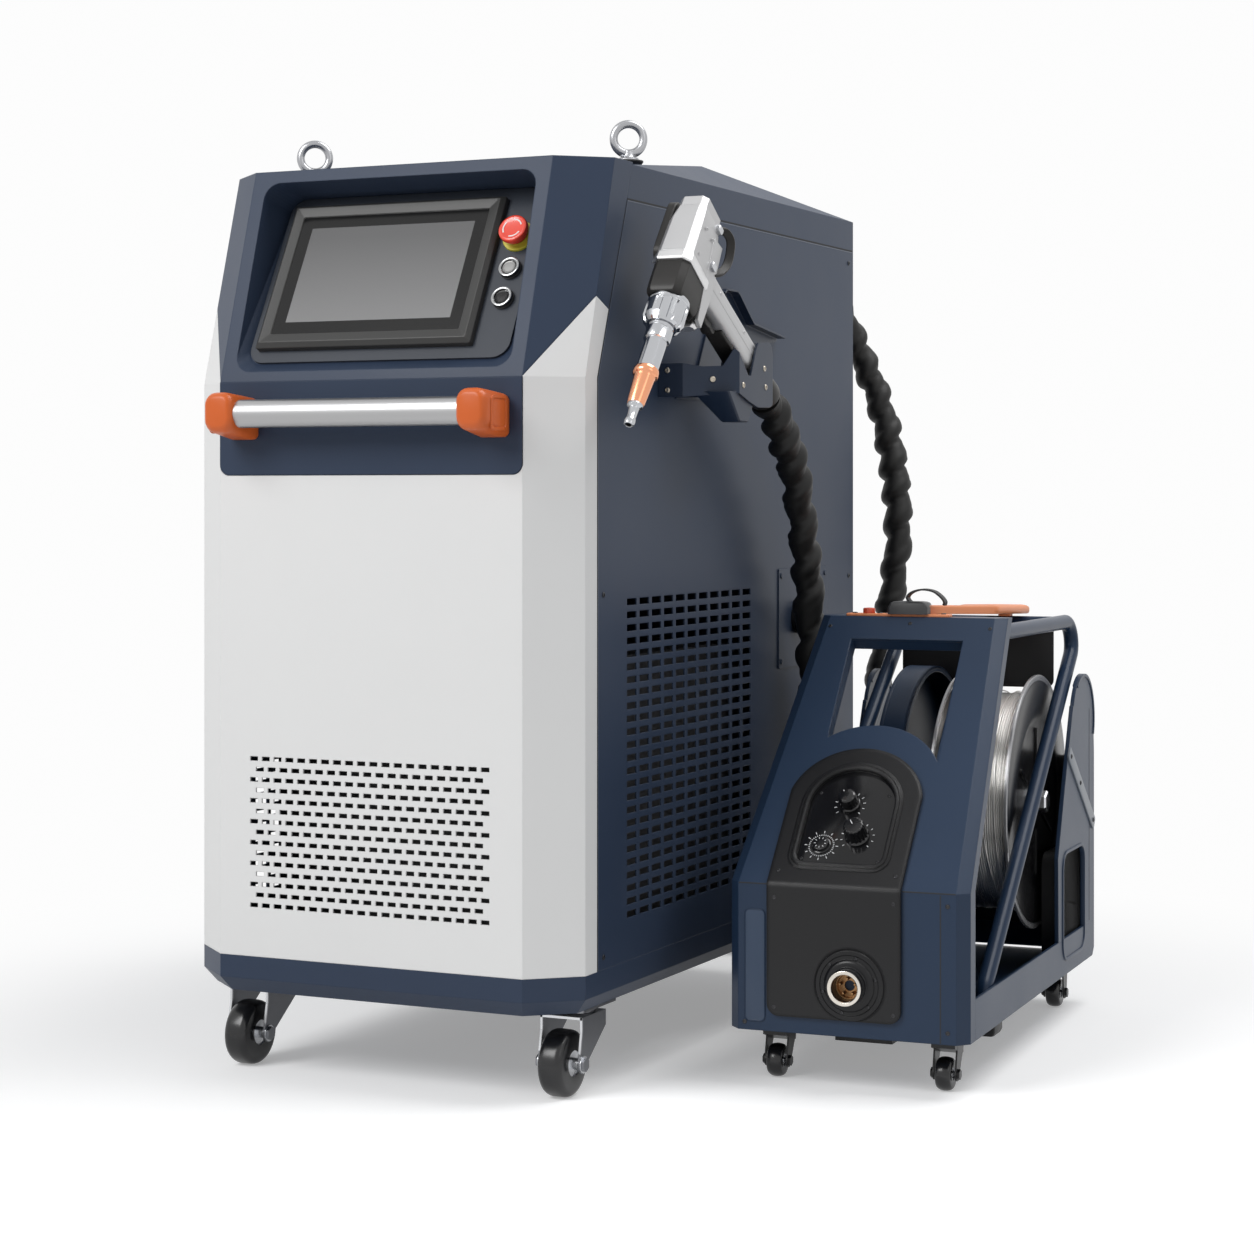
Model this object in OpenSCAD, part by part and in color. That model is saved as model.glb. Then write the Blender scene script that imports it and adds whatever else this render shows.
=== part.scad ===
/* [Cabinet] */
// Width of the cabinet across its side panels
cab_w = 500; // [460:1:560]
// Depth of the cabinet, front cover to rear panel
cab_d = 890; // [840:1:960]
// Height of the seam between side panels and lid
lid_seam_z = 1008; // [980:1:1060]
// Height at which the front face starts to lean back
kink_z = 801; // [780:1:830]
// Height of the leaning face above the kink
lean_h = 250; // [230:1:270]
// How far the leaning face goes back over its height
lean_y = 75; // [60:1:90]
// Width of each front corner chamfer, seen from the front
corner_x = 54; // [40:1:70]
// Depth of each front corner chamfer
corner_y = 47; // [35:1:60]
// Depth of the white return behind each chamfer
return_y = 29; // [20:1:40]
// How far the side seam leans back where it meets the lid
seam_lean_y = 78; // [64:1:90]
// Thickness of the sheet metal panels
sheet_t = 2; // [1.5:0.1:3]
// Thickness of the moulded front surround and the feeder shells
mould_t = 3; // [2.5:0.1:4]

/* [Base] */
// Height of the chassis tray's band
band_h = 26; // [22:1:34]
// Height of the bevel under the band
bevel_h = 17; // [12:1:22]
// How far the bevel goes in
bevel_in = 14; // [8:1:20]
// Side of the square chassis tube
post_s = 25; // [20:1:32]

/* [Castors] */
// Radius of a cabinet wheel
wheel_r = 37.5; // [35:0.5:40]
// Width of a cabinet wheel
wheel_w = 30; // [26:1:34]
// Height of a cabinet castor, floor to top plate
castor_h = 99; // [95:1:108]
// How far a cabinet wheel trails from its swivel
castor_trail = 35; // [28:1:38]
// How far the cabinet castors stand in from the sides
castor_in = 44; // [43:1:70]
// Distance of the front swivels from the front face
castor_front_y = 113; // [100:1:140]
// Distance of the rear castors from the rear panel
castor_rear_y = 90; // [80:1:120]
// Radius of a feeder wheel
feeder_wheel_r = 19; // [17:0.5:21]
// Width of a feeder wheel
feeder_wheel_w = 18; // [16:1:20]

/* [Controls] */
// Half width of the recess in the leaning face
recess_x = 179; // [172:1:184]
// Start of the recess above the kink, along the slope
recess_low = 12; // [10:1:16]
// End of the recess above the kink, along the slope
recess_high = 246; // [242:1:250]
// Extra lean of the control plate against the face, in degrees
plate_tilt = 11; // [8:0.5:13]
// Width of the touch screen housing
screen_w = 281; // [272:1:286]
// Height of the touch screen housing
screen_h = 194; // [186:1:198]
// Radius of the emergency stop head
stop_head_r = 17; // [15:0.5:20]
// Radius of a push button cap
button_r = 8.5; // [7:0.5:10]
// Travel of the emergency stop
stop_travel = 5; // [4:0.5:6]
// Travel of a push button
button_travel = 3; // [2:0.5:4]

/* [Grab bar] */
// Outside radius of the grab bar
bar_r = 16; // [14:0.5:18]
// Height of the grab bar
bar_z = 763; // [755:1:772]
// Distance from the front face to the grab bar's axis
bar_out = 38; // [34:1:44]
// Length of the bare bar between its brackets
bar_len = 286; // [272:1:300]

/* [Torch] */
// Distance from the side panel to the torch's axis
torch_out = 60; // [56:1:70]
// Lean of the torch's axis from upright, in degrees
torch_lean = 35; // [30:1:40]
// Width of the torch's body
torch_w = 46; // [42:1:50]
// Length of the torch's body
torch_len = 104; // [96:1:112]
// Outside radius of the umbilical
hose_r = 20; // [18:0.5:22]

/* [Feeder] */
// Width of the wire feeder
feeder_w = 281; // [270:1:290]
// Width of the wire feeder at its top
feeder_top_w = 232; // [222:1:240]
// Length of the wire feeder
feeder_len = 646; // [620:1:670]
// Height of the feeder's underside
feeder_low_z = 63; // [60:1:68]
// Height at which the feeder's front starts to lean
feeder_kink_z = 230; // [220:1:240]
// Height of the feeder's top
feeder_top_z = 523; // [510:1:540]
// How far the feeder's front leans back
feeder_lean_y = 267; // [255:1:280]
// Gap between the cabinet and the feeder's front corner
feeder_gap = 97; // [90:1:120]
// Distance of the feeder's front behind the cabinet's front
feeder_back = 225; // [200:1:250]
// Turn of the feeder against the cabinet, in degrees
feeder_turn = 3; // [0:0.5:4]
// Radius of the wire spool's flanges
spool_r = 160; // [150:1:164]
// Width of the wire spool
spool_w = 100; // [90:1:104]
// Radius of the wire winding
winding_r = 138; // [125:1:142]
// Radius of the cage tube
cage_r = 9.5; // [8:0.5:11]

/* [Hidden] */
cut = 1;
seat = 0.3;
run_clear = 0.05;
thin = 0.01;
$fn = 48;

// Colours
navy = [0.20, 0.25, 0.33];
feeder_navy = [0.16, 0.23, 0.34];
white = [0.9, 0.9, 0.9];
orange = [0.86, 0.36, 0.16];
dark = [0.12, 0.12, 0.13];
steel = [0.72, 0.73, 0.75];
copper = [0.8, 0.48, 0.33];

// Heights and places of the cabinet
base_z = castor_h;
band_z = base_z + bevel_h;
panel_z = band_z + band_h;
face_top_z = kink_z + lean_h;
lid_wall_h = 40;
lid_edge_z = lid_seam_z + lid_wall_h;
lean_share = lean_y / lean_h;
lean_deg = atan2(lean_y, lean_h);
seam_share = seam_lean_y / (lid_seam_z - kink_z);
front_half = cab_w / 2 - corner_x;
side_front_y = corner_y + return_y;
seam_y = side_front_y + seam_lean_y;

// The shared frame stands under the middle of the cabinet and feeder
feeder_x = cab_w / 2 + feeder_gap + feeder_w / 2;
feeder_half = feeder_w / 2;
feeder_corner_x = 12.7;
feeder_corner_y = 13.7;
reach_right = feeder_x + feeder_half * cos(feeder_turn) - feeder_corner_y * sin(feeder_turn);
bracket_front = 22;
reach_front = -bar_out - bracket_front;
vent_out = 8;
reach_back = cab_d + vent_out;
mid_x = (reach_right - cab_w / 2) / 2;
mid_y = (reach_front + reach_back) / 2;

// How far an inner solid has to run past its shell's open side: nothing for the shell itself
function past(inset) = inset > 0 ? cut : 0;

module placed() {
    translate([-mid_x, -mid_y, 0]) children();
}

// Moves what is drawn in the feeder's own frame to where the feeder stands
module feeder_place() {
    placed() translate([feeder_x, feeder_back, 0]) rotate([0, 0, feeder_turn]) children();
}

// A flat sheet profile in the Y-Z plane, pushed out along X
module side_sheet(points, t) {
    rotate([90, 0, 90]) linear_extrude(t) polygon(points);
}

// A cylinder along X, centred on the origin
module rod_x(r, len) {
    rotate([0, 90, 0]) cylinder(r = r, h = len, center = true);
}

// A block with rounded upright edges made of plain curves
module round_plate(w, h, t, r) {
    linear_extrude(t) round_flat(w, h, r);
}

module round_flat(w, h, r) {
    square([w - 2 * r, h], center = true);
    square([w, h - 2 * r], center = true);
    for (sx = [-1, 1], sy = [-1, 1])
        translate([sx * (w / 2 - r), sy * (h / 2 - r)]) circle(r);
}

// Rows and columns of slots, every second row moved by half a pitch when stagger is 1
module grille_flat(cols, rows, pitch_x, pitch_y, slot_w, slot_h, stagger) {
    for (r = [0:rows - 1], c = [0:cols - 1]) {
        moved = stagger * (r % 2) * pitch_x / 2;
        if (c < cols - stagger * (r % 2))
            translate([(c - (cols - 1) / 2) * pitch_x + moved, (r - (rows - 1) / 2) * pitch_y])
                square([slot_w, slot_h], center = true);
    }
}

// Plan outline of the cabinet's front, with its chamfers and returns
function front_plan(half, y, cx, cy, back) = [[-half, y + back], [-half, y + cy], [-half + cx, y],
    [half - cx, y], [half, y + cy], [half, y + back]];

// The front mass of the cabinet above the kink: inset 0 is its outside
module leaning_mass(inset) {
    half = cab_w / 2 - inset;
    rise = lean_h - inset;
    top_y = rise * lean_share;
    top_back = side_front_y + seam_share * rise - top_y;
    hull() {
        translate([0, 0, kink_z]) linear_extrude(thin)
            polygon(front_plan(half, inset, corner_x, corner_y, side_front_y + past(inset)));
        translate([0, 0, kink_z + rise - thin]) linear_extrude(thin)
            polygon(front_plan(half, top_y + inset, corner_x, corner_y, top_back + past(inset)));
    }
}

module leaning_shell() {
    difference() {
        leaning_mass(0);
        leaning_mass(mould_t);
        hollow_back();
    }
}

// Clears everything behind the front shell's returns
module hollow_back() {
    back = side_front_y + cut;
    top_back = side_front_y + seam_share * lean_h;
    deep = 40;
    wide = cab_w - 2 * mould_t;
    hull() {
        translate([-wide / 2, back - deep / 2, kink_z - thin]) cube([wide, deep, thin]);
        translate([-wide / 2, top_back - deep / 2, face_top_z - mould_t - thin])
            cube([wide, deep, thin]);
    }
}

// Side view of what stays white above the kink: the two slanted tips
tip_z = 91;
tip_back_z = 78;
tip_y = corner_y + tip_z * lean_share;
tip_back_y = side_front_y + tip_back_z * seam_share;
apron_z = 694;
apron_r = 12;
apron_gap = 0.5;
module white_region() {
    over = 30;
    low = 20;
    difference() {
        translate([-cab_w, 0, 0])
            side_sheet([[-over, kink_z], [0, kink_z], [tip_y, kink_z + tip_z],
                [tip_back_y, kink_z + tip_back_z], [tip_back_y + over, kink_z + tip_back_z],
                [tip_back_y + over, kink_z - low], [-over, kink_z - low]], 2 * cab_w);
        translate([-front_half, -over, kink_z - low])
            cube([2 * front_half, 2 * over + tip_y, tip_z + low + cut]);
    }
}

// Lower front: a straight extrusion of the plan outline
module lower_front_flat() {
    difference() {
        polygon(front_plan(cab_w / 2, 0, corner_x, corner_y, side_front_y));
        polygon(front_plan(cab_w / 2 - sheet_t, sheet_t, corner_x, corner_y, side_front_y + cut));
    }
}

front_vent_cols = 20;
front_vent_rows = 15;
front_vent_px = 15.8;
front_vent_pz = 12;
front_slot_w = 10.5;
front_slot_h = 5;
front_vent_z = 285;

module front_cover() {
    plate_w = 2 * front_half;
    vent_h = front_vent_rows * front_vent_pz + front_slot_h;
    vent_w = front_vent_cols * front_vent_px + front_slot_w;
    color(white) placed() {
        difference() {
            translate([0, 0, panel_z]) linear_extrude(kink_z - panel_z) lower_front_flat();
            translate([0, sheet_t + cut, front_vent_z]) rotate([90, 0, 0])
                linear_extrude(sheet_t + 2 * cut) square([vent_w, vent_h], center = true);
            translate([0, sheet_t + cut, 0]) rotate([90, 0, 0]) linear_extrude(sheet_t + 2 * cut)
                apron_flat(apron_gap);
        }
        translate([0, sheet_t, front_vent_z]) rotate([90, 0, 0]) linear_extrude(sheet_t)
            difference() {
                square([vent_w, vent_h], center = true);
                grille_flat(front_vent_cols, front_vent_rows, front_vent_px, front_vent_pz,
                    front_slot_w, front_slot_h, 1);
            }
        intersection() {
            leaning_shell();
            white_region();
        }
    }
}

// Outline of the navy apron below the kink, in X and Z
module apron_flat(gap) {
    half = front_half + gap;
    low = apron_z - gap;
    translate([-half, low + apron_r]) square([2 * half, kink_z + cut - low - apron_r]);
    translate([-half + apron_r, low]) square([2 * (half - apron_r), apron_r + cut]);
    for (s = [-1, 1]) translate([s * (half - apron_r), low + apron_r]) circle(apron_r);
}

// Frame on the leaning face: X across, Y up the slope from the kink, Z out
module on_slope() {
    translate([0, 0, kink_z]) rotate([90 - lean_deg, 0, 0]) children();
}

// Frame on the control plate, at the bottom of the recess
plate_in = 12;
plate_low = recess_low + plate_in;
plate_depth = 10;
plate_len = 226;
plate_half = 170;
plate_t = 3;
plate_ledge = 9;
recess_corner_r = 20;
module on_plate() {
    on_slope() translate([0, plate_low, -plate_depth]) rotate([-plate_tilt, 0, 0]) children();
}

// The recess as a solid: the opening's outline, out to a height, blended to the plate's
module recess_mass(grow, out) {
    opening_h = recess_high - recess_low;
    hull() {
        on_slope() translate([0, (recess_low + recess_high) / 2, 0])
            round_plate(2 * (recess_x + grow), opening_h + 2 * grow, out, recess_corner_r, $fn = 32);
        on_plate() translate([0, plate_len / 2, -grow])
            round_plate(2 * (plate_half + grow), plate_len + 2 * grow, thin, recess_corner_r, $fn = 32);
    }
}

module control_surround() {
    over = 30;
    color(navy) placed() {
        difference() {
            union() {
                difference() {
                    leaning_shell();
                    white_region();
                }
                intersection() {
                    recess_mass(mould_t, cut);
                    leaning_mass(0);
                }
            }
            recess_mass(0, over);
            on_plate() translate([0, plate_len / 2, -over]) linear_extrude(over + cut)
                square([2 * (plate_half - plate_ledge), plate_len - 2 * plate_ledge], center = true);
        }
        translate([0, sheet_t, 0]) rotate([90, 0, 0]) linear_extrude(mould_t) intersection() {
            apron_flat(0);
            translate([-cab_w / 2, 0]) square([cab_w, kink_z]);
        }
    }
}

// Places on the control plate, up from its lower edge
screen_x = -18;
screen_low = 16;
screen_t = 12;
screen_y = screen_low + screen_h / 2;
button_x = 147;
stop_y = 158;
start_y = 115;
halt_y = 76;
stop_bore_r = 11;
button_bore_r = button_r + run_clear;
collar_t = 3;
collar_r = 19.5;
collar_ring_r = 12.5;
collar_lip = 0.5;
stem_len = 16;

module control_plate() {
    edge = 2 * (seat + plate_t * tan(plate_tilt));
    color([0.27, 0.28, 0.3]) placed() on_plate() difference() {
        translate([0, plate_len / 2, 0])
            round_plate(2 * plate_half - edge, plate_len - edge, plate_t, recess_corner_r);
        for (b = [[stop_y, stop_bore_r], [start_y, button_bore_r], [halt_y, button_bore_r]])
            translate([button_x, b[0], -cut]) cylinder(r = b[1], h = plate_t + 2 * cut);
    }
}

module touch_screen() {
    bevel = 5;
    rim = 24;
    pane_in = 1.5;
    color([0.2, 0.2, 0.2]) placed() on_plate() translate([screen_x, screen_y, plate_t])
        difference() {
            hull() {
                linear_extrude(screen_t - bevel) square([screen_w, screen_h], center = true);
                translate([0, 0, screen_t - thin]) linear_extrude(thin)
                    square([screen_w - 2 * bevel, screen_h - 2 * bevel], center = true);
            }
            translate([0, 0, screen_t - pane_in])
                round_plate(screen_w - 2 * rim, screen_h - 2 * rim, pane_in + cut, pane_in);
        }
}

// Fixed rings of the emergency stop and of the two push buttons
module button_collars() {
    color([0.79, 0.75, 0.23]) placed() on_plate() {
        translate([button_x, stop_y, plate_t]) collar(collar_r, stop_bore_r);
        for (y = [start_y, halt_y])
            translate([button_x, y, plate_t]) collar(collar_ring_r, button_bore_r + collar_lip);
    }
}

module collar(r, bore) {
    difference() {
        cylinder(r1 = r, r2 = r - collar_t / 3, h = collar_t);
        translate([0, 0, -cut]) cylinder(r = bore, h = collar_t + 2 * cut);
    }
}

// A mushroom head on a stem that passes through the collar and the plate
module stop_head() {
    head_h = 12;
    edge = 2;
    neck = 7;
    color([0.94, 0.31, 0.24]) placed() on_plate()
        translate([button_x, stop_y, plate_t + collar_t + stop_travel + seat]) {
            translate([0, 0, -stem_len]) cylinder(r = neck, h = stem_len + cut);
            rotate_extrude() polygon([[0, 0], [stop_head_r - edge, 0], [stop_head_r, edge],
                [stop_head_r, head_h / 2], [stop_head_r - edge, head_h - edge], [stop_head_r / 2, head_h],
                [0, head_h]]);
        }
}

module start_button() {
    color(steel) button_cap(start_y);
}

module stop_button() {
    color(dark) button_cap(halt_y);
}

module button_cap(y) {
    crown = 5;
    edge = 1;
    stem = 6;
    placed() on_plate() translate([button_x, y, plate_t]) {
        translate([0, 0, -stem_len + collar_t]) cylinder(r = stem, h = stem_len);
        translate([0, 0, collar_t + button_travel + seat - crown]) rotate_extrude()
            polygon([[0, 0], [button_r, 0], [button_r, crown - edge], [button_r - edge, crown], [0, crown]]);
    }
}

bracket_w = 38;
bracket_h = 48;
bracket_r = 12;
module grab_bar() {
    wall = 2;
    len = bar_len + bracket_w;
    color([0.85, 0.85, 0.86]) placed() translate([0, -bar_out, bar_z]) difference() {
        rod_x(bar_r, len);
        rod_x(bar_r - wall, len + 2 * cut);
    }
}

// Moulded brackets: a rounded nose round the bar's end on a foot that comes down to the cover
bracket_drop = 6;
module grab_brackets() {
    face_y = -mould_t + sheet_t;
    h = bracket_h / 2;
    color(orange) placed() for (s = [-1, 1]) translate([s * (bar_len / 2 + bracket_w / 2), 0, bar_z])
        difference() {
            translate([-bracket_w / 2, 0, 0]) rotate([90, 0, 90]) linear_extrude(bracket_w) {
                translate([-bar_out, 0]) round_flat(2 * bracket_front, bracket_h, bracket_r);
                polygon([[-bar_out, h], [face_y, h - bracket_drop], [face_y, -h - bracket_drop],
                    [-bar_out, -h]]);
            }
            translate([-s * bracket_w / 4 - s * cut, -bar_out, 0])
                rod_x(bar_r + run_clear, bracket_w / 2 + 2 * cut);
        }
}

side_vent_cols = 11;
side_vent_rows = 25;
side_vent_py = 34;
side_vent_pz = 14.8;
side_slot_w = 26;
side_slot_h = 7.5;
side_vent_y = 337;
side_vent_z = 372;
access_y = 699;
access_z = 511;
access_w = 174;
access_h = 129;
access_hole_r = 15;

module side_panel_flat() {
    back = cab_d - sheet_t;
    polygon([[side_front_y, panel_z], [back, panel_z], [back, lid_seam_z], [seam_y, lid_seam_z],
        [side_front_y, kink_z]]);
}

module side_panel(cap_hole) {
    rotate([90, 0, 90]) linear_extrude(sheet_t) difference() {
        side_panel_flat();
        translate([side_vent_y, side_vent_z])
            grille_flat(side_vent_cols, side_vent_rows, side_vent_py, side_vent_pz, side_slot_w,
                side_slot_h, 0);
        if (cap_hole == 1) translate([access_lock_y, access_z]) circle(access_hole_r);
    }
}

module side_panel_right() {
    color(navy) placed() translate([cab_w / 2 - sheet_t, 0, 0]) side_panel(1);
}

module side_panel_left() {
    color(navy) placed() translate([-cab_w / 2, 0, 0]) side_panel(0);
}

access_t = 1.5;
access_lock_y = 675;
lock_r = 21;
lock_h = 9;
lock_bore_r = 12;
module access_plate() {
    screw_in = 9;
    screw_r = 3.5;
    screw_h = 1.2;
    color(navy) placed() translate([cab_w / 2, access_y, access_z]) rotate([90, 0, 90]) {
        difference() {
            round_plate(access_w, access_h, access_t, 2 * access_t);
            translate([access_lock_y - access_y, 0, -cut]) cylinder(r = lock_bore_r,
                h = access_t + 2 * cut);
        }
        for (sx = [-1, 1], sy = [-1, 1])
            translate([sx * (access_w / 2 - screw_in), sy * (access_h / 2 - screw_in), access_t])
                cylinder(r = screw_r, h = screw_h);
    }
}

// A quarter-turn cap with a grip bar across its face
module access_lock() {
    bar_w = 6;
    bar_h = 4;
    shank = 18;
    color(dark) placed() translate([cab_w / 2 + access_t, access_lock_y, access_z])
        rotate([0, 90, 0]) {
            translate([0, 0, seat]) cylinder(r = lock_r, h = lock_h);
            translate([-lock_r + bar_w, -bar_w / 2, seat + lock_h])
                cube([2 * (lock_r - bar_w), bar_w, bar_h]);
            translate([0, 0, -shank]) cylinder(r = lock_bore_r - run_clear, h = shank + seat + cut);
        }
}

// Lid: walls above the seam and a shallow hipped roof
ridge_y = 480;
ridge_in = 50;
ridge_h = 35;
lid_back_y = cab_d;
boss_r = 15;
boss_rise = 12;
boss_root = 11;
boss_z = lid_edge_z + boss_rise;
eye_x = 214;
eye_y = 235;
eye_bore_r = 5.2;
module lid_mass(inset) {
    front_y = side_front_y + seam_share * (lid_edge_z - kink_z) + inset;
    low_y = seam_y + inset;
    hull() {
        translate([-cab_w / 2 + inset, low_y, lid_seam_z - past(inset)])
            cube([cab_w - 2 * inset, lid_back_y - low_y - inset, thin]);
        translate([-cab_w / 2 + inset, front_y, lid_edge_z - thin])
            cube([cab_w - 2 * inset, lid_back_y - front_y - inset, thin]);
        translate([-cab_w / 2 + ridge_in, ridge_y, lid_edge_z + ridge_h - inset])
            cube([cab_w - 2 * ridge_in, thin, thin]);
    }
}

module lid() {
    color(navy) placed() difference() {
        union() {
            difference() {
                lid_mass(0);
                lid_mass(sheet_t);
            }
            for (s = [-1, 1]) translate([s * eye_x, eye_y, lid_edge_z - boss_root])
                cylinder(r = boss_r, h = boss_rise + boss_root);
        }
        for (s = [-1, 1]) translate([s * eye_x, eye_y, lid_edge_z - boss_root - cut])
            cylinder(r = eye_bore_r, h = boss_rise + boss_root + 2 * cut);
    }
}

// Lifting eyes: ring, neck, collar and shank
eye_ring_r = 17.5;
eye_wire_r = 5;
module eye_bolts() {
    collar = 12.5;
    collar_h = 5;
    shank = 17;
    neck = 6;
    color(steel) placed() for (s = [-1, 1])
        translate([s * eye_x, eye_y, boss_z]) {
            cylinder(r = collar, h = collar_h);
            cylinder(r = neck, h = eye_ring_r);
            translate([0, 0, -shank]) cylinder(r = eye_bore_r - run_clear, h = shank + cut);
            translate([0, 0, collar_h + eye_ring_r + eye_wire_r / 2]) rotate([90, 0, 0])
                rotate_extrude() translate([eye_ring_r, 0]) circle(eye_wire_r, $fn = 24);
        }
}

fan_r = 70;
fan_z = 360;
gland_x = 205;
gland_z = 986;
gland_hole_r = 12;
power_x = -150;
power_z = 210;
rear_vent_z = 700;
module rear_panel() {
    inlet_r = 14;
    w = cab_w;
    color(navy) placed() {
        translate([0, cab_d, 0]) rotate([90, 0, 0]) linear_extrude(sheet_t) difference() {
            translate([-w / 2, panel_z]) square([w, lid_seam_z - panel_z]);
            for (s = [-1, 1]) translate([s * w / 5, fan_z]) fan_slots_flat();
            translate([0, rear_vent_z])
                grille_flat(side_vent_cols, side_vent_cols, side_vent_py, side_vent_pz, side_slot_w,
                    side_slot_h, 0);
            translate([gland_x, gland_z]) circle(gland_hole_r);
        }
        translate([power_x, cab_d, power_z]) rotate([-90, 0, 0]) difference() {
            cylinder(r = inlet_r, h = vent_out);
            translate([0, 0, vent_out / 2]) cylinder(r = inlet_r / 2, h = vent_out);
        }
    }
}

// Ring-shaped slots of a pressed fan guard, split by four spokes
fan_rings = 4;
fan_slot = 11;
module fan_slots_flat() {
    pitch = fan_r / (fan_rings + 0.5);
    spoke = 6;
    difference() {
        for (i = [1:fan_rings]) difference() {
            circle(i * pitch + fan_slot / 2);
            circle(i * pitch - fan_slot / 2);
        }
        for (a = [0, 90]) rotate(a + 45) square([3 * fan_r, spoke], center = true);
    }
}

// Welded chassis: bevelled tray with four posts and a shelf frame
tray_t = 3;
module chassis() {
    half = cab_w / 2;
    sink = bevel_in + tray_t;
    back = cab_d;
    post_in = 8;
    low = front_plan(half - bevel_in, bevel_in, corner_x - bevel_in / 2, corner_y - bevel_in / 2,
        back - 2 * bevel_in);
    wide = front_plan(half, 0, corner_x, corner_y, back);
    inner = front_plan(half - tray_t, tray_t, corner_x, corner_y, back - 2 * tray_t);
    inner_low = front_plan(half - sink, sink, corner_x - bevel_in / 2, corner_y - bevel_in / 2,
        back - 2 * sink);
    color(navy) placed() {
        difference() {
            hull() {
                translate([0, 0, base_z]) linear_extrude(thin) polygon(low);
                translate([0, 0, band_z - thin]) linear_extrude(thin) polygon(wide);
            }
            hull() {
                translate([0, 0, base_z + tray_t]) linear_extrude(thin) polygon(inner_low);
                translate([0, 0, band_z]) linear_extrude(thin) polygon(inner);
            }
        }
        translate([0, 0, band_z]) linear_extrude(panel_z - band_z) difference() {
            polygon(wide);
            polygon(inner);
        }
        for (s = [-1, 1], y = [side_front_y + post_in, back - post_s - post_in])
            translate([s * (half - sheet_t - post_s / 2) - post_s / 2, y, band_z])
                cube([post_s, post_s, kink_z - band_z]);
        for (s = [-1, 1]) translate([s * (half - sheet_t - post_s / 2) - post_s / 2,
            side_front_y + post_in, kink_z]) cube([post_s, back - side_front_y - 2 * post_in, post_s]);
        for (s = [-1, 1]) translate([s * (half - sheet_t - post_s / 2) - post_s / 2,
            back - post_s - post_in, kink_z]) cube([post_s, post_s, lid_seam_z - kink_z]);
        for (y = [side_front_y + post_in, back - post_s - post_in])
            translate([-half + sheet_t + post_s, y, shelf_z - post_s])
                cube([cab_w - 2 * (sheet_t + post_s), post_s, post_s]);
    }
}

// Inside: laser source on the shelf, water chiller on the tray
shelf_z = 600;
source_side = 60;
source_w = cab_w - 2 * source_side;
source_h = 150;
source_front = 120;
module laser_source() {
    fin = 4;
    fin_pitch = 12;
    fin_h = 14;
    wall = 3;
    len = cab_d - source_front;
    color([0.45, 0.46, 0.48]) placed() translate([-source_w / 2, source_front - post_s, shelf_z]) {
        difference() {
            cube([source_w, len, source_h]);
            translate([wall, wall, -cut])
                cube([source_w - 2 * wall, len - 2 * wall, source_h - wall + cut]);
        }
        for (x = [fin:fin_pitch:source_w - fin]) translate([x, fin, source_h])
            cube([fin, len - 2 * fin, fin_h]);
    }
}

chiller_side = 50;
chiller_w = cab_w - 2 * chiller_side;
chiller_d = 520;
chiller_h = 380;
module chiller() {
    front = 130;
    cap_r = 22;
    cap_h = 14;
    core_in = 24;
    wall = 3;
    color([0.16, 0.17, 0.18]) placed() translate([-chiller_w / 2, front, base_z + tray_t]) {
        difference() {
            cube([chiller_w, chiller_d, chiller_h]);
            translate([wall, wall, -cut])
                cube([chiller_w - 2 * wall, chiller_d - 2 * wall, chiller_h - wall + cut]);
        }
        translate([chiller_w / 4, chiller_d - cap_r * 2, chiller_h]) cylinder(r = cap_r, h = cap_h);
        for (x = [-core_in / 2, chiller_w]) translate([x, core_in, core_in])
            cube([core_in / 2, chiller_d - 2 * core_in, chiller_h - 2 * core_in]);
    }
}

// Castor sizes that follow from the wheel
axle_r = 4;
fork_t = 2.5;
castor_gap = 8.5;
hub_share = 0.46;
core_share = 0.8;
eye_share = 2.6;
web_share = 0.62;
race_h = 6;
race_r = 22;
top_plate_t = 3;
pin_r = 6;
rear_y = cab_d - castor_rear_y;
castor_x = cab_w / 2 - castor_in;

// One wheel along X: tyre with rounded shoulders, and a hub that reaches out by boss
module wheel(r, w, boss, bore) {
    lip = w / 6;
    hub_r = r * hub_share;
    core = hub_r * core_share;
    step = w / 12;
    end = w / 2 + boss;
    rotate([0, 90, 0]) rotate_extrude($fn = 64) polygon([[bore, -end], [core, -end],
        [core, -w / 2 + step], [hub_r, -w / 2 + step], [hub_r, -w / 2 + step / 2],
        [r - lip, -w / 2 + step / 2], [r - lip / 3, -w / 2 + lip], [r, -w / 2 + 2 * lip],
        [r, w / 2 - 2 * lip], [r - lip / 3, w / 2 - lip], [r - lip, w / 2 - step / 2],
        [hub_r, w / 2 - step / 2], [hub_r, w / 2 - step], [core, w / 2 - step],
        [core, end], [bore, end]]);
}

// A pressed fork: two cheeks, a web and the axle bolt; top is the web's upper face
module fork(r, w, gap, trail, top, axle, t) {
    half = w / 2 + gap;
    eye = eye_share * axle;
    drop = top - r;
    deep = web_share * r;
    front = max(deep, trail + axle / 2);
    for (s = [-1, 1]) translate([s * (half + t / 2) - t / 2, 0, 0]) rotate([90, 0, 90])
        linear_extrude(t) {
            polygon([[-front, top], [deep, top], [deep, top - drop / 3], [-trail + eye, r],
                [-trail, r - eye], [-trail - eye, r], [-front, top - drop / 3]]);
            translate([-trail, r]) circle(eye);
        }
    translate([-half - t, -front, top - t]) cube([2 * (half + t), front + deep, t]);
    translate([0, -trail, r]) rod_x(axle, 2 * (half + t + axle));
    for (s = [-1, 1]) translate([s * (half + t + axle / 2), -trail, r]) rotate([0, 90, 0])
        cylinder(r = 2 * axle, h = axle, center = true, $fn = 6);
}

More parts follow.
